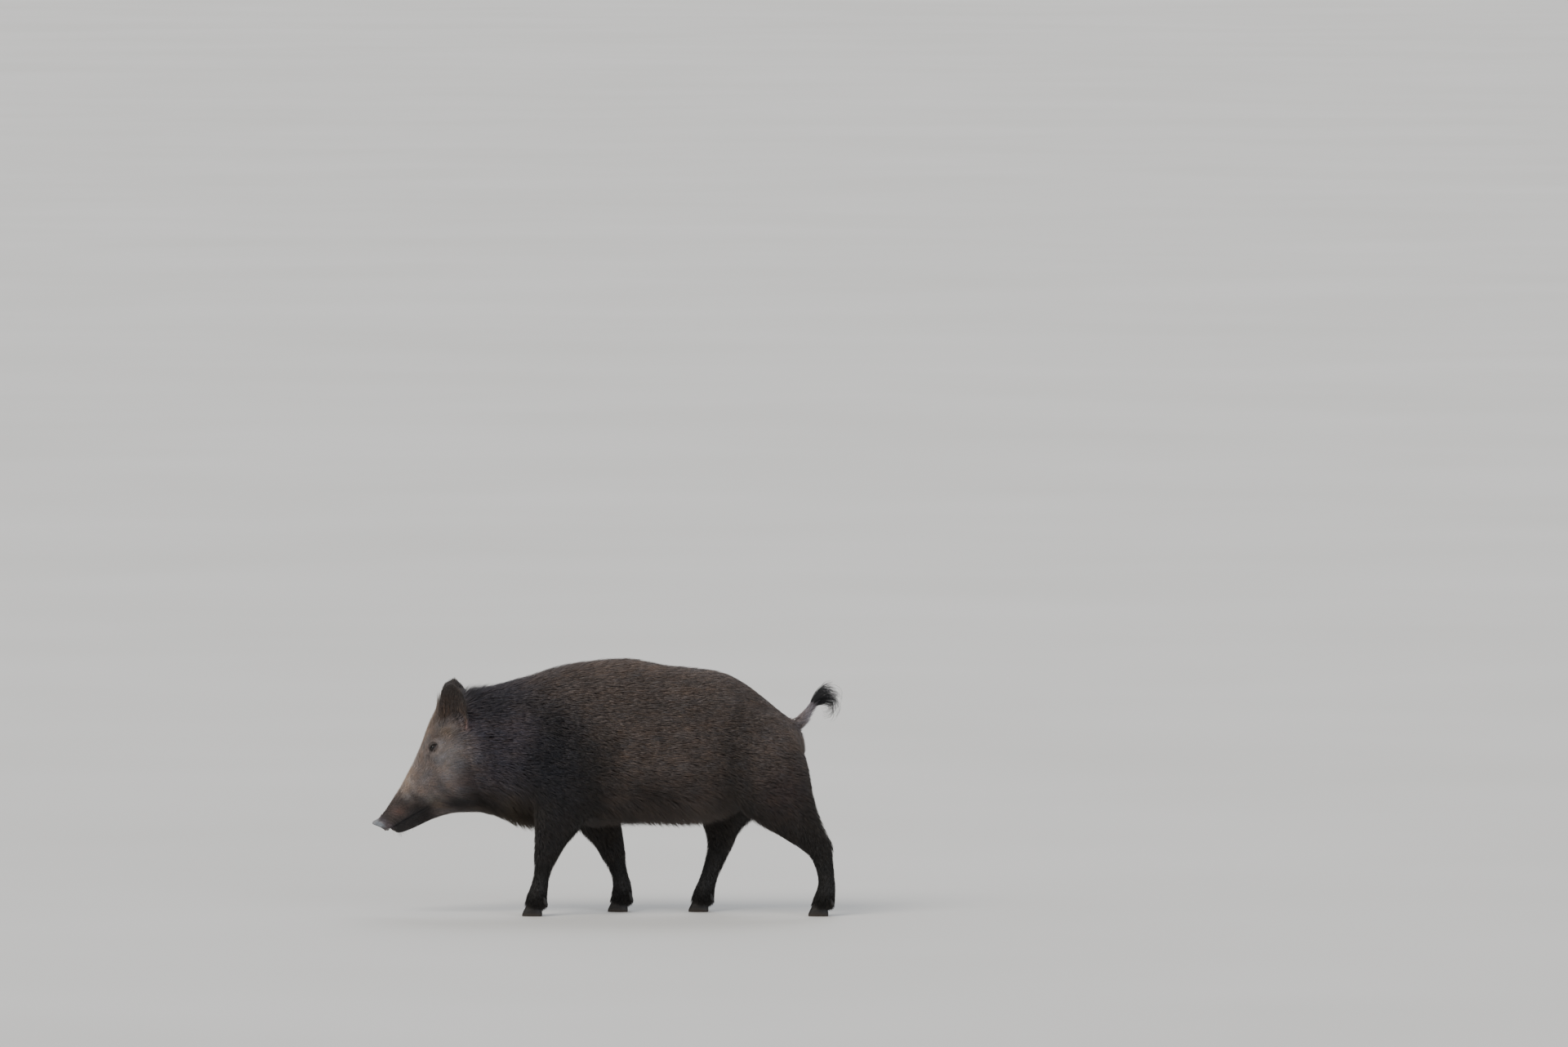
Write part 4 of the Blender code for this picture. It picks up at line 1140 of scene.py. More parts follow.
@dataclass
class Skin:
    """The one skin over head, neck, trunk, legs and tail, made from the solids and drawn in."""

    nodes: dict[str, Object]
    shift: float
    voxel: float = 0.003
    ear_swelling: float = 0.0026
    ear_calming: int = 5
    softening: int = 60
    body_share: float = 0.20
    steps_in: int = 6
    fine_blend: int = 5
    coarse_blend: int = 26
    eye_reaches: tuple[float, float] = (0.034, 0.021)
    obj: Object | None = None
    face: Face = field(default_factory=Face)
    markings: Markings = field(default_factory=Markings)
    flesh: list[str] = field(default_factory=list)

    def build(self) -> Object:
        """Makes the skin's mesh.

        Returns:
            The skin's object, in place.
        """
        apart = (*HORN_ENDINGS, "_eye", "tail_tuft")
        self.flesh = [name for name in self.nodes if not name.endswith(apart)]
        self.join_solids()
        apply_modifier(self.obj, "REMESH", mode="VOXEL", voxel_size=self.voxel)
        self.keep_largest()
        self.soften()
        self.thin_out()
        body = self.body_map()
        self.draw_in(body)
        self.refine()
        self.place(self.face.shape(self.body_map()))
        return self.obj

    def join_solids(self) -> None:
        """Copies the flesh and eye solids into one mesh, each swollen to overlap, thin ears the most."""
        copies = []
        for name in self.flesh + ["left_eye", "right_eye"]:
            copies.append(copy_solid(self.nodes[name], "boar_skin"))
            mesh = copies[-1].data
            swelling = self.ear_swelling if name.endswith("_ear") else HIDE_SWELLING
            write_points(mesh, read_points(mesh) + swelling * read_normals(mesh))
        make_active(copies[0])
        for copy in copies:
            copy.select_set(True)
        bpy.ops.object.join()
        self.obj = bpy.context.view_layer.objects.active
        self.obj.name = self.obj.data.name = "boar_skin"

    def keep_largest(self) -> None:
        """Drops any closed bubble that the remesh left inside."""
        make_active(self.obj)
        bpy.ops.mesh.separate(type="LOOSE")
        made = sorted(bpy.context.selected_objects, key=lambda o: len(o.data.vertices))
        self.obj = made.pop()
        for bubble in made:
            bpy.data.objects.remove(bubble)
        self.obj.name = self.obj.data.name = "boar_skin"

    def points(self) -> Array:
        """The skin's vertices in the body's measuring frame."""
        return read_points(self.obj.data) - (0.0, self.shift, 0.0)

    def place(self, points: Array) -> None:
        """Moves the vertices to places given in the body's measuring frame."""
        write_points(self.obj.data, points + (0.0, self.shift, 0.0))

    def on_head(self, points: Array) -> Array:
        """1 on the head, falling to 0 on the neck."""
        return smoothstep(-0.345, -0.385, past_head(points))

    def on_ear(self, points: Array) -> Array:
        """1 on the free part of the ears."""
        height = (fold(points) - EAR_ROOT) @ unit(EAR_UP)
        outside = smoothstep(0.045, 0.060, np.abs(points[:, 0]))
        return smoothstep(0.012, 0.035, height) * outside * self.on_head(points)

    def soften(self) -> None:
        """Smooths the solids' facets away, much on the body, little on the head, legs and tail."""
        points = self.points()
        _, y, z = points.T
        amount = 1.0
        for value, where in (
            (0.30, self.on_head(points)),
            (0.35, smoothstep(0.26, 0.18, z) * smoothstep(-0.40, -0.36, y)),
            (0.40, smoothstep(0.540, 0.575, y) * smoothstep(0.50, 0.54, z)),
            (0.10, smoothstep(0.075, 0.055, z)),
            (0.85, falloff(points, EAR_BASE, (0.030, 0.050, 0.020))),
            (0.45, self.on_ear(points)),
            (0.70, bell((points - DISC_CENTRE) @ unit(DISC_FACING), 0.001, 0.006) * (y < -0.60)),
        ):
            amount = mix(amount, value, where)
        group = set_group(self.obj, "soften", amount)
        apply_modifier(self.obj, "SMOOTH", factor=0.5, iterations=self.softening, vertex_group=group)

    def thin_out(self) -> None:
        """Takes vertices off the body, which the coat hides, and keeps those of the head."""
        group = set_group(self.obj, "thin", (self.on_head(self.points()) < 0.5).astype(float))
        apply_modifier(self.obj, "DECIMATE", ratio=self.body_share, vertex_group=group)
        apply_modifier(self.obj, "SMOOTH", factor=0.4, iterations=4, vertex_group=group)

    def body_map(self) -> BodyMap:
        """The regions of the body at each of the skin's vertices, blended where they meet."""
        corners, faces, regions = [], [], []
        for name, node in self.nodes.items():
            region = Region.of_node(name)
            if name.endswith((*HORN_ENDINGS, "tail_tuft")):
                continue
            start = len(corners)
            corners += [tuple(vertex.co) for vertex in node.data.vertices]
            faces += [tuple(start + v for v in polygon.vertices) for polygon in node.data.polygons]
            regions += [region.value] * len(node.data.polygons)
        tree = BVHTree.FromPolygons(corners, faces)
        nearest = [tree.find_nearest(vertex.co)[2] for vertex in self.obj.data.vertices]
        shares = np.eye(len(Region))[np.array(regions)[nearest]]
        edges = read_edges(self.obj.data)
        fine = spread(shares, edges, self.fine_blend)
        coarse = spread(shares, edges, self.coarse_blend)
        sharp = np.maximum(fine[:, Region.NOSE.value], fine[:, Region.EAR.value])[:, None]
        shares = mix(coarse, fine, smoothstep(0.02, 0.30, sharp))
        body = BodyMap(self.points(), read_normals(self.obj.data), shares)
        grown = shares[:, Region.HEAD.value] * smoothstep(-0.465, -0.360, past_head(body.points))
        shares[:, Region.HEAD.value] -= grown
        shares[:, Region.NECK.value] += grown
        return body

    def draw_in(self, body: BodyMap) -> None:
        """Moves the skin inwards by the coat's depth, in steps, with a little smoothing between them."""
        edges = read_edges(self.obj.data)
        depth, ear = spread(body.depth(), edges, 6), body.share(Region.EAR)
        for _ in range(self.steps_in):
            normals = unit(spread(read_normals(self.obj.data), edges, 2))
            points = self.points() - normals * (depth / self.steps_in)[:, None]
            calm = mix(0.30, 0.0, smoothstep(0.2, 0.8, self.on_head(points)))
            calm = np.maximum(calm, 0.5 * smoothstep(0.02, 0.15, ear))
            points = mix(points, spread(points, edges, 1), calm[:, None])
            self.place(points)
        rim = 0.85 * smoothstep(0.05, 0.30, ear)
        for _ in range(self.ear_calming):
            points = mix(points, spread(points, edges, 1), rim[:, None])
        self.place(points)

    def refine(self) -> None:
        """Divides the skin more finely on the muzzle and ever finer round the eyes."""
        for reach in self.eye_reaches:
            points = self.points()
            chosen = np.linalg.norm(fold(points) - EYE_CENTRE, axis=1) < reach
            if reach == self.eye_reaches[0]:
                body = BodyMap(points, points, np.zeros((len(points), len(Region))))
                near = distance_to_line(points[:, 1], points[:, 2], MOUTH_LINE)
                chosen |= (body.along_face() < 0.030) & (points[:, 1] < -0.60)
                chosen |= (near < 0.007) & (points[:, 1] < -0.5)
            self.divide(chosen)

    def divide(self, chosen: Array) -> None:
        """Divides once all faces whose vertices are all chosen."""
        make_active(self.obj)
        mesh = self.obj.data
        bpy.ops.object.mode_set(mode="EDIT")
        bpy.ops.mesh.select_mode(type="VERT")
        bpy.ops.mesh.select_all(action="DESELECT")
        bpy.ops.object.mode_set(mode="OBJECT")
        mesh.vertices.foreach_set("select", chosen)
        bpy.ops.object.mode_set(mode="EDIT")
        bpy.ops.mesh.select_mode(type="FACE")
        bpy.ops.mesh.subdivide(number_cuts=1, smoothness=0.6)
        bpy.ops.mesh.select_all(action="SELECT")
        bpy.ops.mesh.quads_convert_to_tris()
        bpy.ops.object.mode_set(mode="OBJECT")

    def dress(self, body: BodyMap, material: Material) -> None:
        """Gives the skin its markings, its other attributes and its material.

        Args:
            body: The regions at the skin's vertices.
            material: The hide material.
        """
        mesh = self.obj.data
        set_attribute(mesh, "markings", self.markings.colours(body))
        set_attribute(mesh, "lie_place", self.lie_place(body))
        nose = smoothstep(0.20, 0.55, body.share(Region.NOSE))
        set_attribute(mesh, "pored", nose)
        set_attribute(mesh, "bare", np.maximum(nose, smoothstep(0.0050, 0.0020, body.from_slit())))
        dress_smooth(self.obj, material)

    def lie_place(self, body: BodyMap) -> Array:
        """Coordinates for the fine grain of the hair, the second along the way that it lies."""
        x, y, z = body.points.T
        head, leg = body.share(Region.HEAD), body.share(Region.LOWER_LEG) + body.share(Region.UPPER_LEG)
        along = mix(mix(y, body.along_face(), head), z, leg)
        across = mix(mix(z, body.behind_face(), head), y, leg)
        return np.stack([x, along, across], 1)


# ----------------------------------------
# The coat


@dataclass
class Tufts:
    """A set of tufts by their middle lines, from which one mesh is made.

    Attributes:
        spine: Points of each tuft's middle line from root to tip, in the body's measuring frame.
        outward: The skin's outward direction at each of those points but the last.
        half_width: Half width of each tuft at its widest.
        tone: One random number a tuft, 0 dark to 1 pale.
        markings: Colour of the coat at each tuft's root.
        places: Each root's place on the unwrap of the skin, 0 to 1 both ways.
    """

    spine: Array
    outward: Array
    half_width: Array
    tone: Array
    markings: Array
    places: Array
    flatness: float = 0.55

    PATCH = 0.003  # width of a tuft's patch on the unwrap
    CORNERS = 3  # sides of a tuft

    def corner_points(self) -> Array:
        """The corners of every ring of every tuft, and its tip, one tuft a row."""
        count, stations = self.spine.shape[:2]
        rings = stations - 1
        ahead = np.concatenate([self.spine[:, 1:], self.spine[:, -1:]], 1)
        behind = np.concatenate([self.spine[:, :1], self.spine[:, :-1]], 1)
        run = unit(ahead - behind)[:, :rings]
        across = unit(np.cross(run, self.outward[:, :rings]))
        upward = np.cross(across, run)
        share = np.arange(rings) / rings
        profile = (0.75 if rings > 1 else 1.0) + 0.9 * share - 1.25 * share**2
        width = self.half_width[:, None] * profile[None, :]
        corners = np.empty((count, rings * self.CORNERS + 1, 3))
        for corner in range(self.CORNERS):
            angle = math.radians(90 + 360 * corner / self.CORNERS)
            offset = across * math.cos(angle) + upward * (self.flatness * math.sin(angle))
            corners[:, corner : rings * self.CORNERS : self.CORNERS] = (
                self.spine[:, :rings] + offset * width[:, :, None]
            )
        corners[:, -1] = self.spine[:, -1]
        return corners

    def faces(self) -> tuple[list[tuple[int, ...]], list[list[tuple[float, float]]]]:
        """One tuft's faces, as corner numbers, and their places in its patch from 0 to 1."""
        rings, sides = self.spine.shape[1] - 1, self.CORNERS
        faces = [tuple(range(sides))]
        patches = [[(0.0, 0.0), (1.0, 0.0), (0.5, 0.25)]]
        for ring in range(rings):
            low, high = 0.25 + 0.75 * ring / rings, 0.25 + 0.75 * (ring + 1) / rings
            base, above = ring * sides, (ring + 1) * sides
            for corner in range(sides):
                after = (corner + 1) % sides
                left, right = corner / sides, (corner + 1) / sides
                if ring < rings - 1:
                    faces.append((base + corner, above + corner, above + after, base + after))
                    patches.append([(left, low), (left, high), (right, high), (right, low)])
                else:
                    faces.append((base + corner, above, base + after))
                    patches.append([(left, low), ((left + right) / 2, 1.0), (right, low)])
        return faces, patches

    def triangle_count(self) -> int:
        """Number of triangles in the mesh of these tufts."""
        rings = self.spine.shape[1] - 1
        return len(self.spine) * (1 + 2 * self.CORNERS * (rings - 1) + self.CORNERS)

    def make_mesh(self, name: str, shift: float, material: Material) -> Object:
        """Joins all the tufts into one object.

        Args:
            name: The object's name.
            shift: Offset from the body's measuring frame to the frame's own, along Y.
            material: The bristle material.

        Returns:
            The object, with its unwrap and the attributes that the material reads.
        """
        corners = self.corner_points() + (0.0, shift, 0.0)
        count, per_tuft = corners.shape[:2]
        faces, patches = self.faces()
        one = np.concatenate([np.array(face) for face in faces])
        loops = (one[None, :] + (np.arange(count) * per_tuft)[:, None]).ravel()
        sizes = np.tile([len(face) for face in faces], count)
        mesh = bpy.data.meshes.new(name)
        mesh.vertices.add(count * per_tuft)
        mesh.loops.add(len(loops))
        mesh.polygons.add(len(sizes))
        mesh.vertices.foreach_set("co", corners.astype(np.float32).ravel())
        mesh.loops.foreach_set("vertex_index", loops.astype(np.int32))
        starts = np.concatenate([[0], np.cumsum(sizes)[:-1]])
        mesh.polygons.foreach_set("loop_start", starts.astype(np.int32))
        mesh.polygons.foreach_set("use_smooth", np.ones(len(sizes), bool))
        mesh.update(calc_edges=True)
        patch = np.concatenate([np.array(corner) for corner in patches])
        unwrapped = self.places[:, None, :] + (patch[None] - 0.5) * self.PATCH
        mesh.uv_layers.new(name="OFBake").uv.foreach_set("vector", unwrapped.astype(np.float32).ravel())
        rings = self.spine.shape[1] - 1
        along = np.append(np.repeat(np.arange(rings) / rings, self.CORNERS), 1.0)
        set_attribute(mesh, "along", np.tile(along, count))
        set_attribute(mesh, "tone", np.repeat(self.tone, per_tuft))
        set_attribute(mesh, "markings", np.repeat(self.markings, per_tuft, axis=0))
        mesh.materials.append(material)
        return add_object(name, mesh)

    def place(self, name: str, shift: float, plan: Growing) -> Object:
        """Makes the tufts' object and fastens it to the part.

        Args:
            name: The object's name.
            shift: Offset from the body's measuring frame to the frame's own, along Y.
            plan: How the piece is grown, for its material.

        Returns:
            The object.
        """
        obj = self.make_mesh(name, shift, plan.material())
        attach(obj, "root")
        LOG.info("%s: %d tufts, %d triangles", name, len(self.spine), self.triangle_count())
        return obj


class Unwrap(Enum):
    """The shapes onto which the skin is laid flat, for the bake maps of the coat."""

    SIDE = "half a barrel round the body, and the inner sides of the upper legs"
    HEAD = "a cone round the head"
    EAR = "the two faces of each ear"
    LEG = "a tube round each leg"

    def lay_out(self, body: BodyMap) -> Array:
        """Lays points of the skin out flat.

        Args:
            body: The points.

        Returns:
            Two coordinates a point, filling 0 to 1 both ways.
        """
        x, y, z = body.points.T
        facing = body.normals[:, 0] * np.sign(x)
        if self is Unwrap.SIDE:
            across = np.arctan2(np.abs(x), z - 0.47) / math.pi
            inner = (facing < -0.05) & (z < 0.42)
            flat = np.stack([y, np.where(inner, 0.80 + 0.20 * z / 0.42, 0.80 * across)], 1)
        elif self is Unwrap.HEAD:
            across = np.arctan2(x, 0.09 - body.behind_face())
            flat = np.stack([body.along_face(), across], 1)
        elif self is Unwrap.EAR:
            height = body.ear_height()
            column = (x > 0) * 2.0 + (body.ear_inside() > 0.5) * 1.0
            flat = np.stack([height, column + np.clip((y - EAR_ROOT[1]) / 0.12 + 0.5, 0.02, 0.98)], 1)
        else:
            column = (x > 0) * 2.0 + (y > 0.1) * 1.0
            middle = np.where(y > 0.1, 0.58, -0.20)
            turn = np.arctan2(y - middle, np.abs(x) - 0.085) / math.tau + 0.5
            flat = np.stack([z, column + 0.98 * turn], 1)
        low = flat.min(0)
        size = np.maximum(flat.max(0) - low, 1e-6)
        margin = Tufts.PATCH
        return margin + (flat - low) / size * (1 - 2 * margin)


@dataclass(frozen=True)
class Growing:
    """How one piece of the coat is grown.

    Attributes:
        unwrap: The shape onto which its part of the skin is laid flat.
        slot: A name for its finish; not used.
        finish: The bristle's finish.
        steps: Number of lengths that a tuft bends in.
        pull: How far tufts lean together into locks, 0 to 1.
    """

    unwrap: Unwrap
    slot: str
    finish: BristleFinish
    steps: int = 2
    pull: float = 0.3

    def material(self) -> Material:
        """The finish's material, made once."""
        return bpy.data.materials.get(self.finish.name) or self.finish.make()


LONG_COAT = Growing(Unwrap.SIDE, "bristle_coat", BristleFinish())
FACE_HAIR = BristleFinish("boar_face_hair", root_shade=0.70, own_range=0.34, tip_gain=1.9, pale_share=0.5)
FACE_COAT = Growing(Unwrap.HEAD, "face_hair", FACE_HAIR, steps=1, pull=0.12)
EAR_COAT = Growing(Unwrap.EAR, "ear_hair", FACE_HAIR, steps=2, pull=0.15)
LEG_HAIR = BristleFinish("boar_leg_hair", own_range=0.25, tip_gain=1.4)
LEG_COAT = Growing(Unwrap.LEG, "leg_hair", LEG_HAIR, steps=1, pull=0.2)
TAIL_COAT = Growing(Unwrap.SIDE, "tail_hair", LEG_HAIR, steps=2, pull=0.15)
BLACK_HAIR = BristleFinish(
    "boar_black_hair", own_range=0.35, tip_gain=1.3, pale_share=0.3, tip_colour="#3c3836"
)


@dataclass
class Coat:
    """Bristles over the whole skin, in tufts that follow the lie of the coat."""

    skin: Skin
    body: BodyMap
    seed: int = 11
    ring: float = 0.008  # width of the rings round the body in which the places are put in order
    stray: float = 0.15
    root_depth: float = 0.0010
    length_range: tuple[float, float] = (0.70, 1.15)
    width_range: tuple[float, float] = (0.75, 1.2)
    layer_range: tuple[float, float] = (0.42, 1.0)
    tufts_to_leader: int = 6
    tufts_to_lock: int = 40

    def __post_init__(self) -> None:
        """Reads the skin's surface, on which the tufts stand and along which they lie."""
        self.triangles = read_triangles(self.skin.obj.data)
        self.tree = BVHTree.FromPolygons(self.body.points.tolist(), self.triangles.tolist())
        self.lie = self.body.lie()
        self.colours = self.skin.markings.colours(self.body)

    def scatter(self, density: Array) -> tuple[Array, Array]:
        """Picks evenly spread places on the skin.

        Args:
            density: Number of places to the square metre, at each vertex.

        Returns:
            The triangle of each place, and its place in the triangle as three shares.
        """
        rng = np.random.default_rng(self.seed)
        corners = self.body.points[self.triangles]
        first_edge, second_edge = corners[:, 1] - corners[:, 0], corners[:, 2] - corners[:, 0]
        area = np.linalg.norm(np.cross(first_edge, second_edge), axis=1) / 2
        middle = corners.mean(1)
        turn = np.arctan2(middle[:, 0], middle[:, 2] - 0.45)
        order = np.lexsort((turn, np.round(middle[:, 1] / self.ring)))
        wanted = np.cumsum((area * density[self.triangles].mean(1))[order])
        count = int(wanted[-1])
        hits = (np.arange(count) + rng.uniform(size=count)) / count * wanted[-1]
        chosen = order[np.minimum(np.searchsorted(wanted, hits), len(order) - 1)]
        first, second = np.sqrt(rng.uniform(size=count)), rng.uniform(size=count)
        shares = np.stack([1 - first, first * (1 - second), first * second], 1)
        return chosen, shares

    def at(self, values: Array, chosen: Array, shares: Array) -> Array:
        """Values of the skin's vertices at places picked on its triangles."""
        corners = values[self.triangles[chosen]]
        if values.ndim == 1:
            return (corners * shares).sum(1)
        return (corners * shares[:, :, None]).sum(1)

    def body_at(self, chosen: Array, shares: Array) -> BodyMap:
        """The body's regions at places picked on the skin."""
        return BodyMap(
            self.at(self.body.points, chosen, shares),
            unit(self.at(self.body.normals, chosen, shares)),
            self.at(self.body.shares, chosen, shares),
        )

    def walk(self, roots: BodyMap, headings: Array, lengths: Array, steps: int) -> tuple[Array, Array]:
        """Follows the skin from each root the way that the coat lies.

        Args:
            roots: The places where the tufts stand.
            headings: The way that each sets off.
            lengths: How far each goes.
            steps: In how many steps.

        Returns:
            Points on the skin and its outward directions there, steps + 1 of each for a tuft.
        """
        points, normals = [roots.points], [roots.normals]
        heading, stride = headings, (lengths / steps)[:, None]
        for _ in range(steps):
            ahead = points[-1] + heading * stride
            found = [self.tree.find_nearest(place) for place in ahead.tolist()]
            place = np.array([hit[0] for hit in found])
            corner = self.triangles[[hit[2] for hit in found]]
            normal = unit(self.body.normals[corner].sum(1))
            local = unit(self.lie[corner].sum(1))
            heading = unit(0.55 * heading + 0.45 * local)
            heading = unit(heading - (heading * normal).sum(1, keepdims=True) * normal)
            points.append(place)
            normals.append(normal)
        return np.stack(points, 1), np.stack(normals, 1)

    def grow(self, roots: BodyMap, lie: Array, markings: Array, places: Array, plan: Growing) -> Tufts:
        """Grows a tuft on each root.

        Args:
            roots: The places where the tufts stand.
            lie: The way that the coat lies there.
            markings: The coat's colour there.
            places: The roots on the unwrap of the skin.
            plan: How the piece is grown.

        Returns:
            The tufts.
        """
        rng = np.random.default_rng(self.seed + plan.steps)
        count, steps = len(roots.points), plan.steps
        length = roots.length() * rng.uniform(*self.length_range, count)
        loose = roots.loose()
        jitter = rng.normal(size=(count, 1)) * self.stray
        headings = unit(lie + jitter * np.cross(roots.normals, lie))
        surface, normals = self.walk(roots, headings, length, steps)
        layer = rng.uniform(*self.layer_range, count) ** 0.75
        share = np.linspace(0, 1, steps + 1)
        lying = 1 - (1 - share[None, :]) ** 2.2
        standing = share[None, :] ** 0.9 * 1.25
        rise = mix(lying, standing, loose[:, None])
        height = ((roots.depth() + roots.lift()) * layer)[:, None] * rise
        height[:, 0] = -self.root_depth
        spine = surface + normals * height[:, :, None]
        free = surface[:, :1] + roots.free_heading(lie)[:, None] * (length[:, None] * share)[:, :, None]
        standing_off = np.clip(roots.hanging() + roots.forelock() + 0.8 * roots.ear_rim(), 0, 1)
        freed = 0.45 * loose + 0.50 * standing_off
        spine = mix(spine, free, (freed[:, None] * share)[:, :, None])
        leader = self.leaders(roots.points, rng, self.tufts_to_leader)
        drawn = (plan.pull * (1 + loose) * rng.uniform(0.4, 1.0, count))[:, None] * share**1.3
        spine = mix(spine, spine[leader], np.where(share > 0, drawn, 0)[:, :, None])
        lock = self.leaders(roots.points, rng, self.tufts_to_lock)
        own = rng.uniform(size=count)
        tone = 0.30 * rng.uniform(size=count)[lock] + 0.42 * own[leader] + 0.28 * own
        tint = 1 + rng.normal(size=(count, 1)) * 0.05 * (1.0, 0.0, -1.2, 0.0)
        width = roots.half_width() * rng.uniform(*self.width_range, count)
        return Tufts(spine, normals[:, :-1], width, tone, markings * tint, places)

    def leaders(self, points: Array, rng: np.random.Generator, members: int) -> Array:
        """Gives each tuft the nearest of a few leading tufts.

        Args:
            points: The tufts' roots.
            rng: Source of the random choice of leaders.
            members: How many tufts share a leader.

        Returns:
            The number of each tuft's leader.
        """
        picked = rng.choice(len(points), max(len(points) // members, 1), replace=False)
        tree = KDTree(len(picked))
        for number in picked.tolist():
            tree.insert(points[number], number)
        tree.balance()
        return np.array([tree.find(place)[1] for place in points.tolist()])

    def cover(self, name: str, plan: Growing, chosen: Array, shares: Array) -> None:
        """Grows one piece of the coat.

        Args:
            name: The piece's name.
            plan: How it is grown.
            chosen: The skin triangle under each tuft.
            shares: The tuft's place in that triangle.
        """
        roots = self.body_at(chosen, shares)
        lie = unit(self.at(self.lie, chosen, shares))
        markings = self.at(self.colours, chosen, shares)
        tufts = self.grow(roots, lie, markings, plan.unwrap.lay_out(roots), plan)
        tufts.place(name, self.skin.shift, plan)

    def build(self) -> None:
        """Grows the whole coat, piece by piece."""
        chosen, shares = self.scatter(self.body.density())
        roots = self.body_at(chosen, shares)
        x, y, _ = roots.points.T
        main = roots.shares.argmax(1)
        apart = (Region.HEAD, Region.EAR, Region.LOWER_LEG, Region.TAIL, Region.NOSE)
        head, ear, leg, tail, nose = (main == region.value for region in apart)
        long_coat = ~(head | ear | leg | tail | nose)
        for side, on_side in (("left", x > 0), ("right", x <= 0)):
            here = long_coat & on_side
            bands = ("neck", "shoulder", "barrel", "flank", "rump")
            limits = np.quantile(y[here], np.linspace(0, 1, len(bands) + 1))
            limits[-1] += 1
            for band, low, high in zip(bands, limits, limits[1:]):
                keep = here & (y >= low) & (y < high)
                self.cover(f"coat_{side}_{band}", LONG_COAT, chosen[keep], shares[keep])
            keep = head & on_side
            self.cover(f"coat_{side}_face", FACE_COAT, chosen[keep], shares[keep])
        for name, plan, keep in (
            ("coat_ears", EAR_COAT, ear),
            ("coat_lower_legs", LEG_COAT, leg),
            ("coat_tail", TAIL_COAT, tail),
        ):
            self.cover(name, plan, chosen[keep], shares[keep])


@dataclass(frozen=True)
class WhiskerPad:
    """Where a group of single stiff hairs stands, and how they point, on the left side."""

    centre: tuple[float, float, float]
    radii: tuple[float, float, float]
    count: int
    length: float
    heading: tuple[float, float, float]


@dataclass
class Whiskers:
    """The single stiff hairs of lips, chin, brows and cheeks, and the lashes of the upper lids."""

    coat: Coat
    pads: tuple[WhiskerPad, ...] = (
        WhiskerPad((0.042, -0.600, 0.288), (0.008, 0.026, 0.012), 12, 0.024, (0.60, 0.10, -0.35)),
        WhiskerPad((0.018, -0.590, 0.238), (0.014, 0.024, 0.008), 9, 0.015, (0.25, 0.10, -0.90)),
        WhiskerPad((0.070, -0.506, 0.514), (0.010, 0.010, 0.006), 4, 0.014, (0.50, -0.30, 0.70)),
        WhiskerPad((0.085, -0.490, 0.395), (0.010, 0.030, 0.025), 7, 0.030, (0.75, 0.15, -0.45)),
        WhiskerPad((0.070, -0.455, 0.325), (0.015, 0.030, 0.015), 10, 0.036, (0.50, 0.35, -0.70)),
    )
    half_width: float = 0.00022
    lashes: int = 26
    lash_length: float = 0.0085
    steps: int = 4

    def build(self) -> Object:
        """Makes all of the hairs as one piece.

        Returns:
            The piece's object.
        """
        rng = np.random.default_rng(23)
        roots, headings, bends, lengths = [], [], [], []
        for pad in self.pads:
            for side in (1, -1):
                mirror = np.array((side, 1, 1))
                spots = np.array(pad.centre) + rng.normal(size=(pad.count, 3)) * 0.6 * pad.radii
                spots *= mirror
                roots += [np.array(self.coat.tree.find_nearest(spot)[0]) for spot in spots.tolist()]
                spread_out = rng.normal(size=(pad.count, 3)) * 0.16
                headings += list(unit((np.array(pad.heading) + spread_out) * mirror))
                bends += [np.array((0.0, 0.25, -0.30))] * pad.count
                lengths += list(pad.length * rng.uniform(0.6, 1.2, pad.count))
        inner, upper, gaze = EYE.axes()
        for side in (1, -1):
            mirror = np.array((side, 1, 1))
            for along in np.linspace(-0.88, 0.80, self.lashes) * EYE.half_length:
                up = EYE.upper_arch * (1 - (along / EYE.half_length) ** 2) ** 0.8 + 0.0006
                out = math.sqrt((EYE_RADIUS + 0.0012) ** 2 - along**2 - up**2)
                roots.append((inner * along + upper * up + gaze * out + EYE_CENTRE) * mirror)
                heading = 0.85 * gaze + 0.25 * upper + inner * (0.5 * along / EYE.half_length)
                headings.append(unit(heading + rng.normal(size=3) * 0.10) * mirror)
                bends.append(upper * mirror * 0.45)
                lengths.append(self.lash_length * rng.uniform(0.7, 1.1))
        roots, headings, bends = np.array(roots), np.array(headings), np.array(bends)
        share = np.linspace(-0.05, 1, self.steps + 1)[None, :, None]
        run = headings[:, None] * share + bends[:, None] * share**2
        spine = roots[:, None] + run * np.array(lengths)[:, None, None]
        aside = unit(bends - (bends * headings).sum(1, keepdims=True) * headings)
        outward = np.repeat(aside[:, None], self.steps, 1)
        count = len(roots)
        width, tone = np.full(count, self.half_width), rng.uniform(size=count)
        markings = np.tile(linear("#2a2523"), (count, 1))
        places = Unwrap.HEAD.lay_out(BodyMap(roots, headings, np.zeros((count, len(Region)))))
        tufts = Tufts(spine, outward, width, tone, markings, places, flatness=1.0)
        plan = Growing(Unwrap.HEAD, "face_hair", BLACK_HAIR)
        return tufts.place("coat_whiskers", self.coat.skin.shift, plan)


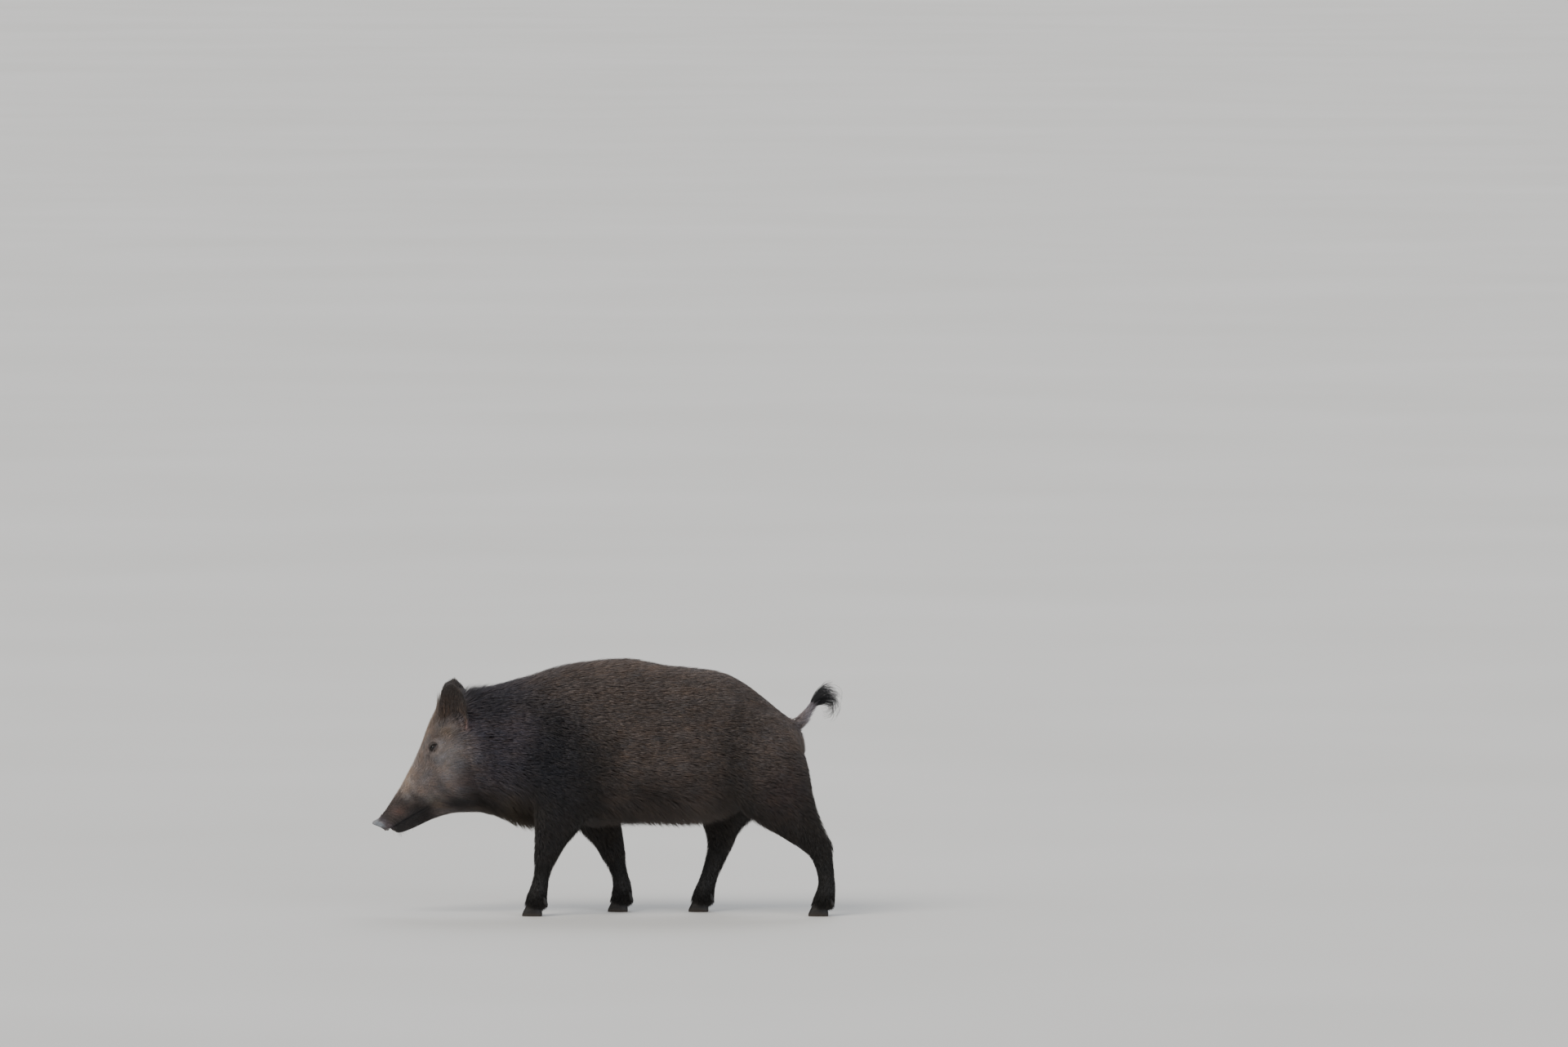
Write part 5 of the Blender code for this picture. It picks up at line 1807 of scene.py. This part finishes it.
@dataclass
class TailTuft:
    """The black tuft at the tail's end, whose long thin hairs sweep back and curl over."""

    shift: float
    count: int = 420
    steps: int = 8
    stem_length: float = 0.036
    stem_radius: float = 0.0075
    half_width: float = 0.00065

    def build(self) -> Object:
        """Makes the tuft.

        Returns:
            Its object.
        """
        rng = np.random.default_rng(41)
        count = self.count
        axis = unit(TAIL_HEADING)
        above = np.cross((1.0, 0.0, 0.0), axis)
        down_stem = rng.uniform(size=count) ** 0.8
        turn = rng.uniform(0, math.tau, count)
        radial = np.cos(turn)[:, None] * (1.0, 0.0, 0.0) + np.sin(turn)[:, None] * above
        radius = self.stem_radius * mix(0.45, 1.0, np.minimum(down_stem * 2, 1))
        middle = TAIL_END - axis * (down_stem * self.stem_length)[:, None]
        roots = middle + radial * (radius - 0.001)[:, None]
        curly = rng.uniform(size=count) < 0.22
        length = np.where(curly, rng.uniform(0.080, 0.135, count), rng.uniform(0.045, 0.078, count))
        curl = np.where(curly, rng.uniform(19, 34, count), rng.uniform(7, 20, count))
        first = math.atan2(axis[2], axis[1]) + 0.38 * np.sin(turn) + rng.normal(size=count) * 0.08
        sideways = 0.30 * np.cos(turn) + rng.normal(size=count) * 0.07
        share = (np.arange(self.steps) + 0.5) / self.steps
        angle = first[:, None] - curl[:, None] * length[:, None] * share * (0.6 + 0.8 * share)
        heading = np.stack([sideways[:, None] * (1 - 0.8 * share), np.cos(angle), np.sin(angle)], 2)
        reached = np.cumsum(unit(heading) * (length / self.steps)[:, None, None], 1)
        spine = roots[:, None] + np.concatenate([np.zeros((count, 1, 3)), reached], 1)
        outward = np.stack([np.zeros_like(angle), -np.sin(angle), np.cos(angle)], 2)
        places = Tufts.PATCH + np.stack([down_stem, turn / math.tau], 1) * (1 - 2 * Tufts.PATCH)
        tone = rng.uniform(size=count)
        markings = np.tile(linear("#1b1c1f"), (count, 1))
        width = np.where(curly, 0.7, 1.0) * self.half_width * rng.uniform(0.8, 1.2, count)
        tufts = Tufts(spine, outward, width, tone, markings, places, flatness=0.8)
        return tufts.place("coat_tail_tuft", self.shift, Growing(Unwrap.SIDE, "tail_hair", BLACK_HAIR))


# ----------------------------------------
# Eyes and hooves


@dataclass
class Eye:
    """One eyeball with its bulging cornea."""

    side: int
    shift: float
    cornea_angle: float = math.radians(36)
    cornea_bulge: float = 0.0011

    def build(self, material: Material) -> Object:
        """Makes the eyeball.

        Args:
            material: The eye material.

        Returns:
            The eyeball's object.
        """
        inner, upper, gaze = EYE.axes()
        deselect_all()
        bpy.ops.mesh.primitive_uv_sphere_add(segments=64, ring_count=48, radius=EYE_RADIUS)
        obj = bpy.context.view_layer.objects.active
        obj.name = obj.data.name = ("left" if self.side > 0 else "right") + "_eyeball"
        points = read_points(obj.data)
        turn = np.stack([inner, upper, gaze], 1) * np.array((self.side, 1, 1))[:, None]
        if np.linalg.det(turn) < 0:
            turn[:, 0] *= -1
        angle = np.arctan2(np.hypot(points[:, 0], points[:, 1]), points[:, 2])
        bulge = 1 + self.cornea_bulge / EYE_RADIUS * smoothstep(self.cornea_angle, 0.0, angle)
        oval = np.arctan2(np.hypot(points[:, 0] * 0.86, points[:, 1] * 1.16), points[:, 2])
        round_share = smoothstep(0.25, 0.55, angle)
        set_attribute(obj.data, "from_axis", mix(oval, angle, round_share) / math.radians(90) * 1.35)
        spoke = np.stack([unit(points)[:, 0] * 3, unit(points)[:, 1] * 3, angle * 0.6], 1)
        set_attribute(obj.data, "spoke", spoke)
        centre = np.array(EYE_CENTRE) * (self.side, 1, 1)
        points = (points * bulge[:, None]) @ turn.T + centre + (0.0, self.shift, 0.0)
        write_points(obj.data, points)
        dress_smooth(obj, material)
        return obj


@dataclass
class Hoof:
    """One hoof or dewclaw, rounded and ringed from its solid."""

    node: Object
    round_over: float = 0.0024
    ring_height: float = 0.00022
    ring_spacing: float = 0.0046
    narrowing: float = 0.20

    def build(self, material: Material) -> Object:
        """Makes the horn's fine shape.

        Args:
            material: The horn material.

        Returns:
            The hoof's object.
        """
        obj = copy_solid(self.node, f"{self.node.name}_horn", quads=True)
        mesh = obj.data
        rounding = {"width": self.round_over, "segments": 2, "limit_method": "ANGLE", "angle_limit": 0.7}
        apply_modifier(obj, "BEVEL", **rounding)
        apply_modifier(obj, "SUBSURF", levels=2, render_levels=2, subdivision_type="CATMULL_CLARK")
        points, normals = read_points(mesh), read_normals(mesh)
        wave = np.sin(math.tau * (points[:, 2] + 0.3 * points[:, 1]) / self.ring_spacing)
        wall = smoothstep(0.75, 0.35, np.abs(normals[:, 2])) * smoothstep(0.001, 0.006, points[:, 2])
        points = points + normals * (self.ring_height * wave * wall)[:, None]
        low, high = points.min(0), points.max(0)
        upper = smoothstep(low[2] + 0.002, high[2], points[:, 2])[:, None]
        centre = mix(low, high, np.array((0.5, 0.60, 0.0)))
        flat = points - centre
        write_points(mesh, points - flat * (1, 1, 0) * self.narrowing * upper)
        dress_smooth(obj, material)
        return obj


# ----------------------------------------
# Studio


@dataclass(frozen=True)
class Studio:
    """Pale floor, soft lights and the camera."""

    shift: float
    distance: float = 50.8
    elevation: float = math.radians(3.0)
    lens: float = 400.0
    look_at: tuple[float, float, float] = (0.0, 0.5238, 1.1405)
    floor_size: float = 700.0
    light_angle: float = math.radians(34.0)

    def build(self) -> None:
        """Makes the floor, the lights and the camera."""
        self.floor()
        self.light("key_light", (5.0, -4.5, 7.0), 2.1, "#fff7ec")
        self.light("fill_light", (6.0, 5.0, 3.0), 0.8, "#eef3ff")
        self.light("back_light", (-6.0, 1.0, 6.5), 0.9, "#f4f7ff")
        world = bpy.data.worlds.new("studio")
        bpy.context.scene.world = world
        world.use_nodes = True
        background = world.node_tree.nodes["Background"]
        background.inputs["Color"].default_value = linear("#dfe2e6")
        background.inputs["Strength"].default_value = 0.85
        self.camera()

    def floor(self) -> None:
        """One wide plane at floor level."""
        deselect_all()
        bpy.ops.mesh.primitive_plane_add(size=self.floor_size)
        floor = bpy.context.view_layer.objects.active
        floor.name = floor.data.name = "studio_floor"
        floor.data.materials.append(FloorFinish().make())

    def light(self, name: str, place: tuple[float, float, float], strength: float, colour: str) -> None:
        """One broad soft light from far away, which falls evenly on floor and animal.

        Args:
            name: The light's name.
            place: The direction that it comes from.
            strength: Its strength in watts to the square metre.
            colour: Its colour as sRGB hex.
        """
        data = bpy.data.lights.new(name, "SUN")
        data.angle, data.energy, data.color = self.light_angle, strength, linear(colour)[:3]
        lamp = add_object(name, data)
        lamp.location = place
        lamp.rotation_euler = (-Vector(place)).to_track_quat("-Z", "Y").to_euler()

    def camera(self) -> None:
        """A long lens from the animal's left side, a little above it."""
        data = bpy.data.cameras.new("camera")
        data.lens, data.sensor_width, data.clip_end = self.lens, 36.0, 2000.0
        camera = add_object("camera", data)
        target = Vector(self.look_at) + Vector((0.0, self.shift, 0.0))
        away = Vector((math.cos(self.elevation), 0.0, math.sin(self.elevation)))
        camera.location = target + self.distance * away
        camera.rotation_euler = (-away).to_track_quat("-Z", "Y").to_euler()
        bpy.context.scene.camera = camera


# ----------------------------------------
# Putting it together


def main() -> None:
    """Builds the studio and the animal's pieces in order."""
    logging.basicConfig(level=logging.INFO, format="%(message)s")
    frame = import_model()
    deselect_all()
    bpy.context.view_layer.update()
    nodes = frame["nodes"]
    low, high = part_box("left_eye")
    shift = (low.y + high.y) / 2 - EYE_Y
    Studio(shift).build()

    skin = Skin(nodes, shift)
    skin.build()
    body = skin.body_map()
    skin.dress(body, HideFinish().make())
    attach(skin.obj, "root")
    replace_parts(skin.obj, *skin.flesh)
    LOG.info("boar_skin: %d triangles", len(read_triangles(skin.obj.data)))

    wet_eye = EyeFinish().make()
    for side, name in ((1, "left_eye"), (-1, "right_eye")):
        eye = Eye(side, shift).build(wet_eye)
        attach(eye, "root")
        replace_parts(eye, name)

    horn = HornFinish().make()
    for name in [n for n in nodes if n.endswith(HORN_ENDINGS)]:
        hoof = Hoof(nodes[name]).build(horn)
        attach(hoof, "root")
        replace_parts(hoof, name)

    coat = Coat(skin, body)
    coat.build()
    Whiskers(coat).build()
    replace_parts(TailTuft(shift).build(), "tail_tuft")

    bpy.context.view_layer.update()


if __name__ == "__main__":
    main()
